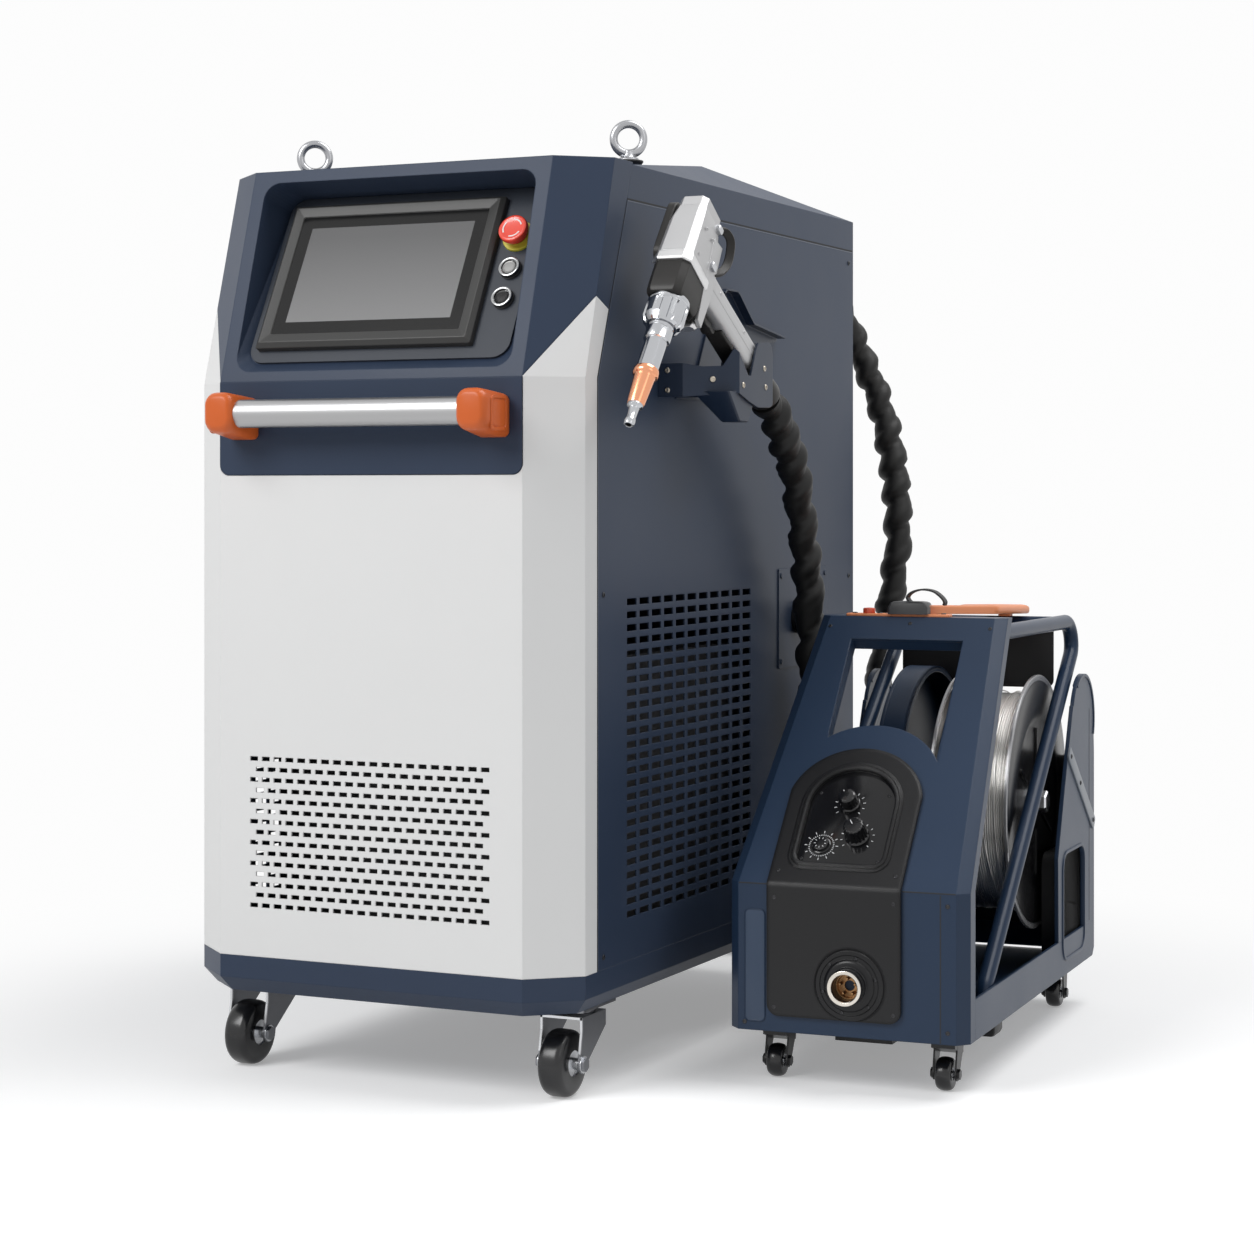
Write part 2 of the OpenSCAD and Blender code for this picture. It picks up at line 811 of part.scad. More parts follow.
fork_top = castor_h - top_plate_t - race_h - seat;
module castor_plates() {
    plate_l = 92;
    plate_w = 60;
    color(steel) placed() for (s = [-1, 1]) {
        translate([s * castor_x, castor_front_y, 0]) difference() {
            union() {
                translate([0, 0, castor_h - top_plate_t])
                    round_plate(plate_w, plate_l, top_plate_t, pin_r);
                translate([0, 0, castor_h - top_plate_t - race_h]) cylinder(r = race_r, h = race_h + cut);
            }
            translate([0, 0, castor_h - top_plate_t - race_h - cut])
                cylinder(r = pin_r + run_clear, h = top_plate_t + race_h + 2 * cut);
        }
        translate([s * castor_x, rear_y, castor_h - top_plate_t])
            round_plate(plate_w, plate_l, top_plate_t, pin_r);
    }
}

module swivel_fork(s) {
    placed() translate([s * castor_x, castor_front_y, 0]) {
        fork(wheel_r, wheel_w, castor_gap, castor_trail, fork_top, axle_r, fork_t);
        translate([0, 0, fork_top - fork_t])
            cylinder(r = pin_r, h = fork_t + seat + race_h + top_plate_t - cut);
    }
}

module front_fork_left() {
    color(steel) swivel_fork(-1);
}

module front_fork_right() {
    color(steel) swivel_fork(1);
}

module front_wheel_left() {
    color(dark) placed() translate([-castor_x, castor_front_y - castor_trail, wheel_r])
        wheel(wheel_r, wheel_w, castor_gap - seat, axle_r + run_clear);
}

module front_wheel_right() {
    color(dark) placed() translate([castor_x, castor_front_y - castor_trail, wheel_r])
        wheel(wheel_r, wheel_w, castor_gap - seat, axle_r + run_clear);
}

module rear_forks() {
    color(steel) placed() for (s = [-1, 1]) translate([s * castor_x, rear_y, 0])
        fork(wheel_r, wheel_w, castor_gap, 0, castor_h - top_plate_t, axle_r, fork_t);
}

module rear_wheel_left() {
    color(dark) placed() translate([-castor_x, rear_y, wheel_r])
        wheel(wheel_r, wheel_w, castor_gap - seat, axle_r + run_clear);
}

module rear_wheel_right() {
    color(dark) placed() translate([castor_x, rear_y, wheel_r])
        wheel(wheel_r, wheel_w, castor_gap - seat, axle_r + run_clear);
}

// Torch frame: Z points to the tip, Y up and forward, X out from the cabinet
torch_x = cab_w / 2 + torch_out;
torch_tail_y = 208;
torch_tail_z = 1001;
module torch_frame() {
    placed() translate([torch_x, torch_tail_y, torch_tail_z]) rotate([180 - torch_lean, 0, 0])
        children();
}

nose_len = 46;
nut_len = 36;
nut_r = 24;
barrel_r = 12.5;
barrel_len = 62;
nozzle_len = 46;
nozzle_r = 10;
tip_len = 26;
body_up = 30;
body_down = 36;
nose_up = 27;
nose_down = 35;
tail_wide = 0.86;
tail_high = 0.78;
nose_share = 0.94;

// Faceted aluminium body: a chamfered block that narrows at its tail, with a lower keel
module torch_body() {
    edge = 8;
    tail = 34;
    keel = keel_h;
    w = torch_w / 2;
    profile = [[-w + edge, -body_down], [w - edge, -body_down], [w, -body_down + edge], [w, body_up - edge],
        [w - edge, body_up], [-w + edge, body_up], [-w, body_up - edge], [-w, -body_down + edge]];
    small = [for (p = profile) [p[0] * tail_wide, p[1] * tail_high]];
    color([0.78, 0.78, 0.79]) torch_frame() {
        hull() {
            translate([0, 0, tail]) linear_extrude(torch_len - tail) polygon(profile);
            linear_extrude(thin) polygon(small);
        }
        translate([-w + edge, -body_down - keel, tail]) cube([2 * (w - edge), keel + cut,
            torch_len - tail + nose_len]);
        translate([0, 0, -keel]) cylinder(r = nut_r / 2, h = keel + cut);
    }
}

module torch_nose() {
    edge = 7;
    step = 1;
    w = torch_w / 2 - step;
    profile = [[-w + edge, -nose_down], [w - edge, -nose_down], [w, -nose_down + edge], [w, nose_up - edge],
        [w - edge, nose_up], [-w + edge, nose_up], [-w, nose_up - edge], [-w, -nose_down + edge]];
    front = nose_share * profile;
    color(dark) torch_frame() translate([0, 0, torch_len]) hull() {
        linear_extrude(thin) polygon(profile);
        translate([0, 0, nose_len - thin]) linear_extrude(thin) polygon(front);
    }
}

// Collet nut and barrel, turned as one stack
module torch_barrel() {
    step = 4;
    start = torch_len + nose_len;
    color(steel) torch_frame() translate([0, 0, start]) rotate_extrude() polygon([[0, 0],
        [nut_r - step, 0], [nut_r, step], [nut_r, nut_len - 2 * step], [nut_r - step, nut_len],
        [barrel_r + step / 2, nut_len], [barrel_r + step / 2, nut_len + barrel_len / 3],
        [barrel_r, nut_len + barrel_len / 3 + step / 2], [barrel_r, nut_len + barrel_len],
        [0, nut_len + barrel_len]]);
}

module torch_nozzle() {
    step = 2;
    start = torch_len + nose_len + nut_len + barrel_len;
    tip_r = 5;
    bore = 2.5;
    color(copper) torch_frame() translate([0, 0, start]) rotate_extrude() polygon([[0, 0],
        [nozzle_r + step, 0], [nozzle_r + step, 3 * step], [nozzle_r, 4 * step],
        [nozzle_r - step, nozzle_len], [tip_r + step, nozzle_len], [tip_r, nozzle_len + tip_len / 3],
        [tip_r, nozzle_len + tip_len], [bore, nozzle_len + tip_len], [bore, nozzle_len], [0, nozzle_len]]);
}

// Grip frame: Z runs down the grip to the hose, Y towards the tip
grip_turn = 94.4;
grip_len = 224;
grip_r = 16;
grip_start = 72;
grip_wide = 17;
grip_deep = 19;
keel_h = 9;
swell_share = 0.45;
module in_grip() {
    translate([0, -body_down / 2, grip_start]) rotate([grip_turn, 0, 0]) children();
}

module grip_flat(wide, deep) {
    c = wide / 2;
    polygon([[-wide, -deep + c], [-wide + c, -deep], [wide - c, -deep], [wide, -deep + c],
        [wide, deep - c], [wide - c, deep], [-wide + c, deep], [-wide, deep - c]]);
}

trigger_z = 62;
trigger_len = 36;
trigger_travel = 3;
trigger_pin_r = 3;
trigger_pin = 12;
module torch_grip() {
    flare = 5;
    swell_z = swell_share * grip_len;
    end = 24;
    big = 3 * grip_len;
    color([0.7, 0.7, 0.71]) torch_frame() difference() {
        in_grip() {
            hull() {
                linear_extrude(thin) grip_flat(grip_wide, grip_deep + flare);
                translate([0, 0, swell_z]) linear_extrude(thin) grip_flat(grip_wide, grip_deep);
            }
            hull() {
                translate([0, 0, swell_z]) linear_extrude(thin) grip_flat(grip_wide, grip_deep);
                translate([0, 0, grip_len - end]) linear_extrude(thin) grip_flat(grip_wide, grip_deep);
                translate([0, 0, grip_len - thin]) linear_extrude(thin) circle(grip_r, $fn = 32);
            }
        }
        translate([-big / 2, -body_down - keel_h, -big / 2]) cube([big, big, big]);
        in_grip() translate([0, grip_deep + flare, trigger_z + trigger_len / 2]) rotate([90, 0, 0])
            cylinder(r = trigger_pin_r + run_clear, h = trigger_pin + trigger_travel + 2 * flare);
    }
}

sleeve_len = 54;
module torch_sleeve() {
    rib = 1.5;
    ribs = 6;
    pitch = sleeve_len / (ribs + 1);
    r = hose_r + rib;
    color(dark) torch_frame() in_grip() translate([0, 0, grip_len]) rotate_extrude()
        polygon(concat([[0, 0], [grip_r + rib, 0]],
            [for (i = [1:ribs], k = [0, 1]) [r + k * rib, pitch * (i + k / 2)]],
            [[r, sleeve_len], [0, sleeve_len]]));
}

// Sprung trigger on a pin that slides in the grip
module torch_trigger() {
    out = 8;
    w = 13;
    proud = 3;
    waist = 0.7;
    heel = 0.8;
    face = grip_deep + proud;
    color(dark) torch_frame() in_grip() translate([0, face + trigger_travel, trigger_z]) {
        translate([-w / 2, 0, 0]) rotate([90, 0, 90]) linear_extrude(w) polygon([[0, 0],
            [out / 2, 0], [out, trigger_len / 4], [out * waist, trigger_len / 2],
            [out, trigger_len * heel], [out / 2, trigger_len], [0, trigger_len]]);
        translate([0, cut, trigger_len / 2]) rotate([90, 0, 0])
            cylinder(r = trigger_pin_r, h = trigger_pin);
    }
}

// Holster: folded straps on the side panel and a cradle round the grip's end
holster_z = 803;
holster_y = 231;
strap_h = 38;
strap_t = 3;
cradle_y = 345;
cradle_gap = 0.6;
cradle_from = 158;
cradle_len = 44;
module holster() {
    foot = 34;
    wing = 34;
    back_h = 92;
    back_w = 118;
    low = holster_z - strap_h / 2;
    out = torch_out + grip_wide + cradle_gap + strap_t / 2;
    run_y = cradle_y - holster_y;
    color([0.12, 0.16, 0.24]) {
        placed() {
            translate([cab_w / 2, holster_y, low]) linear_extrude(strap_h) polygon([
                [0, 0], [strap_t, 0], [strap_t, foot], [out, foot + wing], [out + strap_t, foot + wing],
                [out + strap_t, run_y], [out, run_y], [out, foot + wing + strap_t],
                [strap_t, foot + strap_t], [0, foot + strap_t]]);
            translate([cab_w / 2, cradle_y - back_w / 2, low]) rotate([90, 0, 90])
                linear_extrude(strap_t) polygon([[0, 0], [back_w, 0], [back_w, strap_h / 2],
                    [back_w - wing, strap_h], [back_w / 2, back_h], [back_w / 4, back_h],
                    [0, strap_h]]);
            translate([cab_w / 2, cradle_y, low]) cube([torch_out - grip_wide, strap_t, strap_h]);
        }
        torch_frame() in_grip() translate([0, 0, cradle_from]) linear_extrude(cradle_len)
            cradle_flat();
    }
}

// Faceted U that the grip's end lies in, open upwards
module cradle_flat() {
    in_x = grip_wide + cradle_gap;
    in_y = grip_deep + cradle_gap;
    c = grip_wide / 2;
    rim = -grip_deep / 2;
    t = strap_t;
    polygon([[-in_x - t, rim], [-in_x, rim], [-in_x, in_y - c], [-in_x + c, in_y], [in_x - c, in_y],
        [in_x, in_y - c], [in_x, rim], [in_x + t, rim], [in_x + t, in_y - c + t / 2],
        [in_x - c + t / 2, in_y + t], [-in_x + c - t / 2, in_y + t], [-in_x - t, in_y - c + t / 2]]);
}

// Tube through a list of points: rings kept square to the path without twist
function unit(v) = v / norm(v);
function tangents(p) = [for (i = [0:len(p) - 1])
    unit(p[min(i + 1, len(p) - 1)] - p[max(i - 1, 0)])];
function square_to(n, t) = unit(n - (n * t) * t);
function normals(t, start) = [for (i = 0, n = square_to(start, t[0]); i < len(t);
    i = i + 1, n = i < len(t) ? square_to(n, t[i]) : n) n];

module tube(p, r, sides, start) {
    t = tangents(p);
    n = normals(t, start);
    rings = [for (i = [0:len(p) - 1], k = [0:sides - 1])
        let (a = 360 * k / sides, b = cross(t[i], n[i])) p[i] + r * (cos(a) * n[i] + sin(a) * b)];
    last = (len(p) - 1) * sides;
    walls = [for (i = [0:len(p) - 2], k = [0:sides - 1], h = [0, 1])
        let (a = i * sides + k, b = i * sides + (k + 1) % sides)
        h == 0 ? [a, a + sides, b] : [b, a + sides, b + sides]];
    ends = [for (k = [1:sides - 2], e = [0, 1])
        e == 0 ? [0, k, k + 1] : [last, last + k + 1, last + k]];
    polyhedron(points = rings, faces = concat(walls, ends));
}

// The umbilical's coil behind the cabinet: two stacked loops, wound clockwise
coil_r = 200;
coil_x = 45;
coil_y = 1222;
layer_step = 41.5;
coil_rings = 24;
coil_loops = 1.75;
climb_from = 278;
climb_to = 338;
function smooth(t) = let (c = min(max(t, 0), 1)) c * c * (3 - 2 * c);
function coil_point(a) = [coil_x + coil_r * cos(270 - a), coil_y + coil_r * sin(270 - a),
    hose_r + layer_step * smooth((a - climb_from) / (climb_to - climb_from))];
coil_core = [for (i = [0:coil_rings * coil_loops]) coil_point(360 * i / coil_rings)];
coil_path = concat([[coil_x + 2 * hose_r, coil_y - coil_r, hose_r]], coil_core,
    [[coil_x + coil_r, coil_y - 2 * hose_r, hose_r + layer_step]]);
coil_gap = min([for (i = [0:len(coil_core) - 1], j = [0:len(coil_core) - 1])
    if (j - i > coil_rings / 2) norm(coil_core[i] - coil_core[j]) - 2 * hose_r]);
echo(least_gap_in_coil = coil_gap);

// Route from the rear gland to the coil, and from the coil to the torch
rear_route = [[205, 936, 946], [205, 959, 926], [210, 981, 902], [222, 998, 868], [238, 1008, 826],
    [252, 1012, 780], [263, 1012, 730], [270, 1012, 680], [273, 1012, 630], [270, 1012, 580],
    [263, 1012, 530], [254, 1012, 480], [246, 1012, 420], [243, 1012, 350], [244, 1012, 280],
    [244, 1012, 220], [243, 1012, 170], [236, 1012, 120], [218, 1012, 80], [192, 1013, 50],
    [160, 1018, 28], [125, 1022, 20], [85, 1022, 20]];
torch_run = [[245, 1182, 61.5], [245, 1150, 61.5], [254, 1115, 56], [268, 1080, 44], [278, 1040, 33],
    [283, 1000, 25], [284, 955, 21], [283, 905, 20], [283, 855, 20], [284, 805, 21], [285, 766, 28],
    [285, 731, 43], [286, 700, 68], [286, 675, 102], [287, 658, 140], [287, 652, 190], [288, 650, 250],
    [288, 648, 310], [288, 645, 370], [289, 640, 425], [290, 631, 475], [292, 617, 525],
    [296, 597, 575], [300, 574, 622], [304, 548, 667], [308, 518, 708], [310, 486, 738]];
function grip_point(d) = let (a = 180 - torch_lean, b = a + grip_turn,
    y = -body_down / 2 * cos(a) - grip_start * sin(a), z = -body_down / 2 * sin(a) + grip_start * cos(a))
    [torch_x, torch_tail_y + y - d * sin(b), torch_tail_z + z + d * cos(b)];
sleeve_end = grip_len + sleeve_len;
torch_route = concat(torch_run, [grip_point(sleeve_end + 2 * hose_r), grip_point(sleeve_end + seat)]);
echo(torch_hose_end = torch_route[len(torch_route) - 1], before = torch_route[len(torch_route) - 2]);

module umbilical() {
    sides = 8;
    color(dark) placed() {
        tube(rear_route, hose_r, sides, [1, 0, 0]);
        tube(torch_route, hose_r, sides, [1, 0, 0]);
    }
}

module umbilical_coil() {
    sides = 6;
    color(dark) placed() tube(coil_path, hose_r, sides, [0, 0, 1]);
}

// Angled strain relief on the rear panel: a tapered boot cut flat where it seats
gland_drop = 41;
gland_exit = rear_route[0];
module umbilical_gland() {
    boot = 90;
    foot_r = 27;
    lip = 1;
    neck_r = hose_r + lip;
    color(dark) placed() difference() {
        translate(gland_exit) rotate([-90 - gland_drop, 0, 0]) translate([0, 0, -boot])
            cylinder(r1 = foot_r, r2 = neck_r, h = boot);
        translate([gland_exit[0] - boot, cab_d - 2 * boot, gland_exit[2] - boot])
            cube([2 * boot, 2 * boot, 3 * boot]);
    }
}

// Feeder: shell outline in plan and the two masses of its front
feeder_depth = 34;
feeder_rise = feeder_top_z - feeder_kink_z;
module feeder_mass(inset) {
    h = feeder_half - inset;
    top_h = feeder_top_w / 2 - inset;
    back = feeder_depth + past(inset);
    translate([0, 0, feeder_low_z + inset]) linear_extrude(feeder_kink_z - feeder_low_z - inset)
        polygon(front_plan(h, inset, feeder_corner_x, feeder_corner_y, back));
    hull() {
        translate([0, 0, feeder_kink_z - thin]) linear_extrude(thin)
            polygon(front_plan(h, inset, feeder_corner_x, feeder_corner_y, back));
        translate([0, 0, feeder_top_z - inset - thin]) linear_extrude(thin)
            polygon(front_plan(top_h, feeder_lean_y + inset, feeder_corner_x, feeder_corner_y, back));
    }
}

feeder_lean_deg = atan2(feeder_lean_y, feeder_rise);
module on_feeder_slope() {
    translate([0, 0, feeder_kink_z]) rotate([90 - feeder_lean_deg, 0, 0]) children();
}

// Window in the leaning face: straight top and sides, arched lower edge over the pod
window_top = 361;
window_left = -69;
window_right = 70;
window_tip = 164;
arch_r = 92;
arch_x = -9;
arch_y = 138;
window_flare = 3;
window_sill = 217;
module window_flat() {
    difference() {
        polygon([[window_left, window_top], [window_right, window_top],
            [window_right + window_flare, window_tip], [window_left + window_flare, window_tip]]);
        translate([arch_x, arch_y]) circle(arch_r, $fn = 64);
        translate([window_left - arch_r, window_tip - arch_r])
            square([arch_r + window_flare, window_sill - window_tip + arch_r]);
    }
}

module feeder_front() {
    color(feeder_navy) feeder_place() difference() {
        feeder_mass(0);
        feeder_mass(mould_t);
        on_feeder_slope() translate([0, 0, -feeder_depth]) linear_extrude(2 * feeder_depth) window_flat();
    }
}

// Black pod: arch-topped panel on the slope and a flat panel below the kink
pod_left = -92;
pod_right = 65;
pod_x = (pod_left + pod_right) / 2;
pod_half = (pod_right - pod_left) / 2;
pod_top = 192;
pod_low_z = 82;
pod_t = 5;
dial_x = -15;
dial_half = 56;
dial_low = 24;
dial_high = 166;
dial_deep = 4;
arch_round = pod_half + 2 * cut;
module pod_arch() {
    difference() {
        translate([pod_left - cut, pod_top - arch_round])
            square([2 * (pod_half + cut), arch_round + 2 * cut]);
        translate([pod_x, pod_top - arch_round]) circle(arch_round, $fn = 64);
    }
}

module dial_flat() {
    translate([dial_x, dial_high - dial_half]) circle(dial_half);
    translate([dial_x, dial_low + dial_half / 2]) round_flat(2 * dial_half, dial_half, dial_half / 3);
    translate([dial_x - dial_half, dial_low + dial_half / 2])
        square([2 * dial_half, dial_high - dial_low - 1.5 * dial_half]);
}

socket_x = 6;
socket_z = 122;
socket_flange_r = 40;
socket_r = 20;
socket_bore = 15;
socket_len = 26;
module feeder_pod() {
    r = 14;
    low = feeder_kink_z - pod_low_z;
    top = pod_top + cut;
    out = [-pod_t * cos(feeder_lean_deg), pod_t * sin(feeder_lean_deg)];
    up = [top * sin(feeder_lean_deg), top * cos(feeder_lean_deg)];
    mitre = [-pod_t, pod_t * tan(feeder_lean_deg / 2)];
    color(dark) feeder_place() difference() {
        translate([pod_left, 0, feeder_kink_z])
            side_sheet([[0, -low], [-pod_t, -low], mitre, up + out, up, [0, 0]], 2 * pod_half);
        on_feeder_slope() {
            translate([0, 0, -cut]) linear_extrude(pod_t + 2 * cut) pod_arch();
            translate([0, 0, pod_t - dial_deep]) linear_extrude(dial_deep + cut) dial_flat();
        }
        translate([0, cut, 0]) rotate([90, 0, 0]) linear_extrude(pod_t + 2 * cut) {
            translate([socket_x, socket_z]) circle(socket_flange_r + run_clear);
            for (s = [-1, 1]) translate([pod_x + s * pod_half, pod_low_z]) difference() {
                square(2 * r, center = true);
                translate([-s * r, r]) circle(r);
            }
        }
    }
}

// Each knob's place on the dial: across, up the slope, radius and height
speed_place = [-18, 113, 11, 20];
delay_place = [0, 69, 13, 24];
mode_place = [-40, 55, 10, 6];

// A knob with a skirt and a fluted grip, seated on the dial's floor
module knob(place) {
    flutes = 12;
    skirt = 1.5;
    r = place[2];
    h = place[3];
    feeder_place() on_feeder_slope() translate([place[0], place[1], pod_t - dial_deep + seat]) {
        cylinder(r = r + skirt, h = h / 5);
        difference() {
            cylinder(r = r, h = h);
            for (i = [0:flutes - 1]) rotate([0, 0, 360 * i / flutes]) translate([r + skirt / 3, 0, h / 4])
                cylinder(r = skirt, h = h, $fn = 16);
        }
    }
}

module speed_knob() {
    color(dark) knob(speed_place);
}

module delay_knob() {
    color(dark) knob(delay_place);
}

module mode_knob() {
    color(dark) knob(mode_place);
}

module wire_socket() {
    lip = 2;
    color(dark) feeder_place() translate([socket_x, 0, socket_z]) rotate([90, 0, 0]) difference() {
        union() {
            cylinder(r = socket_flange_r, h = pod_t + lip);
            cylinder(r = socket_r, h = socket_len);
        }
        translate([0, 0, -cut]) cylinder(r = socket_bore, h = socket_len + 2 * cut);
    }
}

// Base: a tray with side rails that rise to the rear plate
feeder_rail = 16;
feeder_floor = 4;
feeder_side_h = 46;
module feeder_base() {
    front = feeder_depth;
    w = feeder_w;
    len = feeder_len;
    h = feeder_side_h;
    edge = 10;
    color(feeder_navy) feeder_place() translate([0, 0, feeder_low_z]) difference() {
        rotate([90, 0, 90]) translate([0, 0, -w / 2]) linear_extrude(w) polygon([
            [front, 0], [len - edge, 0], [len, edge], [len, h], [front, h]]);
        translate([-w / 2 + feeder_rail / 4, front - cut, feeder_floor])
            cube([w - feeder_rail / 2, len - front - feeder_rail / 4 + cut, h]);
    }
}

// Bent cage tubes: up from the floor, back along the diagonal and forward along the top
cage_clear = 6;
cage_x = feeder_half - cage_r - cage_clear;
cage_sides = 12;
cage_foot_y = 128;
cage_bend_r = 25;
cage_rise = 34;
cage_back_y = 655;
cage_top_y = 276;
cage_top_z = 505;
cage_in = 6;
cross_r = 7.5;
cross_y = 569;
function bend(a, b, c, r, n) = let (u = unit(a - b), v = unit(c - b), t = acos(u * v), w = 180 - t,
    m = b + unit(u + v) * r / sin(t / 2), leg = r / tan(t / 2), p = b + leg * u - m, q = b + leg * v - m)
    [for (i = [0:n]) let (k = i / n) m + (sin((1 - k) * w) * p + sin(k * w) * q) / sin(w)];
module feeder_cage() {
    floor_z = feeder_low_z + feeder_floor;
    top_x = feeder_top_w / 2 - cage_r - mould_t;
    low_arc = 4;
    high_arc = 9;
    color(feeder_navy) feeder_place() {
        for (s = [-1, 1]) {
            foot = [s * cage_x, cage_foot_y, floor_z];
            low = [s * cage_x, cage_foot_y, floor_z + cage_rise];
            high = [s * (cage_x - cage_in), cage_back_y, cage_top_z];
            front = [s * top_x, cage_top_y, cage_top_z];
            tube(concat([foot], bend(foot, low, high, cage_bend_r, low_arc),
                bend(low, high, front, cage_bend_r, high_arc), [front]), cage_r, cage_sides, [1, 0, 0]);
        }
        translate([0, cross_y, cage_top_z]) rod_x(cross_r, 2 * (cage_x - cage_in));
    }
}

// Carrying handle: a moulded board screwed to the cover's top and to the cage's cross tube
handle_w = 54;
handle_t = 12;
handle_x = 40;
handle_end = 31;
handle_grip = 170;
handle_r = 12;
neck_x = -4;
neck_w = 36;
neck_in = 14;
saddle_w = 130;
saddle_x = -20;
saddle_d = 20;
saddle_t = 3;
module feeder_handle() {
    post = 16;
    cover_y = feeder_lean_y + feeder_corner_y;
    rest_z = cage_top_z + cross_r;
    slope = atan2(feeder_top_z - rest_z, cross_y - cover_y);
    reach = norm([feeder_top_z - rest_z, cross_y - cover_y]) + handle_end;
    start = reach - handle_grip;
    half = handle_w / 2;
    color([0.9, 0.5, 0.3]) feeder_place() {
        translate([0, cover_y, feeder_top_z + saddle_t]) rotate([-slope, 0, 0]) linear_extrude(handle_t) {
            translate([handle_x, reach - (handle_grip + handle_r) / 2])
                round_flat(handle_w, handle_grip + handle_r, handle_r);
            polygon([[neck_x - neck_w / 2, -neck_in], [neck_x + neck_w / 2, -neck_in],
                [handle_x + half, start], [handle_x - half, start]]);
        }
        translate([saddle_x - saddle_w / 2, cover_y - saddle_d / 2, feeder_top_z])
            cube([saddle_w, saddle_d, saddle_t]);
        translate([handle_x - post / 2, cross_y - post / 2, rest_z])
            cube([post, post, saddle_t + cut]);
    }
}

// Spool carrier: back wall with an arched top, axle and hub
spool_x = 58;
spool_y = 465;
spool_z = 283;
guard_x = -60;
guard_over = 8;
hub_r = 25;
flange_t = 4;
drum_r = 110;
module spool_guard() {
    t = 4;
    low = feeder_low_z + feeder_floor;
    arch = spool_r + guard_over;
    color(feeder_navy) feeder_place() {
        translate([guard_x, 0, 0]) rotate([90, 0, 90]) linear_extrude(t) {
            translate([spool_y, spool_z]) circle(arch, $fn = 64);
            translate([spool_y - arch, low]) square([2 * arch, spool_z - low]);
        }
        translate([(guard_x + spool_x + spool_w / 2) / 2, spool_y, spool_z])
            rod_x(hub_r / 2, spool_x + spool_w / 2 - guard_x + t);
    }
}

module spool() {
    bore = hub_r / 2 + run_clear;
    color(dark) feeder_place() translate([spool_x, spool_y, spool_z]) rotate([0, 90, 0])
        rotate_extrude($fn = 96) polygon([[bore, -spool_w / 2], [spool_r, -spool_w / 2],
            [spool_r, -spool_w / 2 + flange_t], [drum_r, -spool_w / 2 + flange_t],
            [drum_r, spool_w / 2 - flange_t], [spool_r, spool_w / 2 - flange_t], [spool_r, spool_w / 2],
            [bore, spool_w / 2]]);
}

module spool_wire() {
    w = spool_w - 2 * flange_t;
    color(steel) feeder_place() translate([spool_x, spool_y, spool_z]) rotate([0, 90, 0])
        rotate_extrude($fn = 96) polygon([[drum_r, -w / 2], [winding_r, -w / 2], [winding_r, w / 2],
            [drum_r, w / 2]]);
}

// Rear side plates: a leaning front edge, an arched top and a rounded opening
plate_foot_y = 440;
plate_neck = [438, 215];
plate_mid = [475, 300];
plate_shoulder = [522, 400];
plate_back = [640, 400];
plate_drop_z = 330;
plate_arch = [583, 376, 62];
plate_hole = [525, 150, 120, 132, 20];
module feeder_side_plate() {
    t = 5;
    foot = feeder_low_z + feeder_side_h;
    color(feeder_navy) feeder_place() for (x = [-feeder_half, feeder_half - t]) translate([x, 0, 0])
        rotate([90, 0, 90]) linear_extrude(t) difference() {
            union() {
                polygon([[plate_foot_y, foot], plate_neck, plate_mid, plate_shoulder, plate_back,
                    [feeder_len, plate_drop_z], [feeder_len, foot]]);
                translate([plate_arch[0], plate_arch[1]]) circle(plate_arch[2]);
            }
            translate([plate_hole[0], plate_hole[1]])
                round_flat(plate_hole[2], plate_hole[3], plate_hole[4]);
        }
}

// Wire drive on the tray's floor and the block that hangs under it
drive_at = [-70, 110];
drive_size = [120, 130, 50];
block_at = [-60, 150];
block_size = [70, 60, 36];
module wire_drive() {
    color([0.25, 0.26, 0.28]) feeder_place() {
        translate([block_at[0], block_at[1], feeder_low_z - block_size[2]]) cube(block_size);
        translate([drive_at[0], drive_at[1], feeder_low_z + feeder_floor]) cube(drive_size);
    }
}

// Feeder castors
feeder_axle_r = 3;
feeder_castor_gap = 3;
feeder_fork_t = 2;
feeder_track = 100;
feeder_front_y = 70;
feeder_rear_y = 594;
feeder_trail = 12;
feeder_race = 4;
feeder_fork_top = feeder_low_z - feeder_race - seat;
module feeder_fork(s) {
    feeder_place() translate([s * feeder_track, feeder_front_y, 0]) {
        fork(feeder_wheel_r, feeder_wheel_w, feeder_castor_gap, feeder_trail, feeder_fork_top,
            feeder_axle_r, feeder_fork_t);
        translate([0, 0, feeder_fork_top - cut]) cylinder(r = feeder_axle_r, h = feeder_race + cut);
    }
}

module feeder_fork_left() {
    color(dark) feeder_fork(-1);
}

module feeder_fork_right() {
    color(dark) feeder_fork(1);
}

module feeder_rear_forks() {
    race = 16;
    color(dark) feeder_place() for (s = [-1, 1]) {
        translate([s * feeder_track, feeder_rear_y, 0])
            fork(feeder_wheel_r, feeder_wheel_w, feeder_castor_gap, 0, feeder_low_z, feeder_axle_r,
                feeder_fork_t);
        translate([s * feeder_track, feeder_front_y, feeder_low_z - feeder_race]) difference() {
            cylinder(r = race, h = feeder_race);
            translate([0, 0, -cut]) cylinder(r = feeder_axle_r + run_clear, h = feeder_race + 2 * cut);
        }
    }
}

module feeder_wheel(s, y) {
    color(dark) feeder_place() translate([s * feeder_track, y, feeder_wheel_r])
        wheel(feeder_wheel_r, feeder_wheel_w, feeder_castor_gap - seat, feeder_axle_r + run_clear);
}

module feeder_wheel_fl() {
    feeder_wheel(-1, feeder_front_y - feeder_trail);
}

module feeder_wheel_fr() {
    feeder_wheel(1, feeder_front_y - feeder_trail);
}

module feeder_wheel_rl() {
    feeder_wheel(-1, feeder_rear_y);
}

module feeder_wheel_rr() {
    feeder_wheel(1, feeder_rear_y);
}

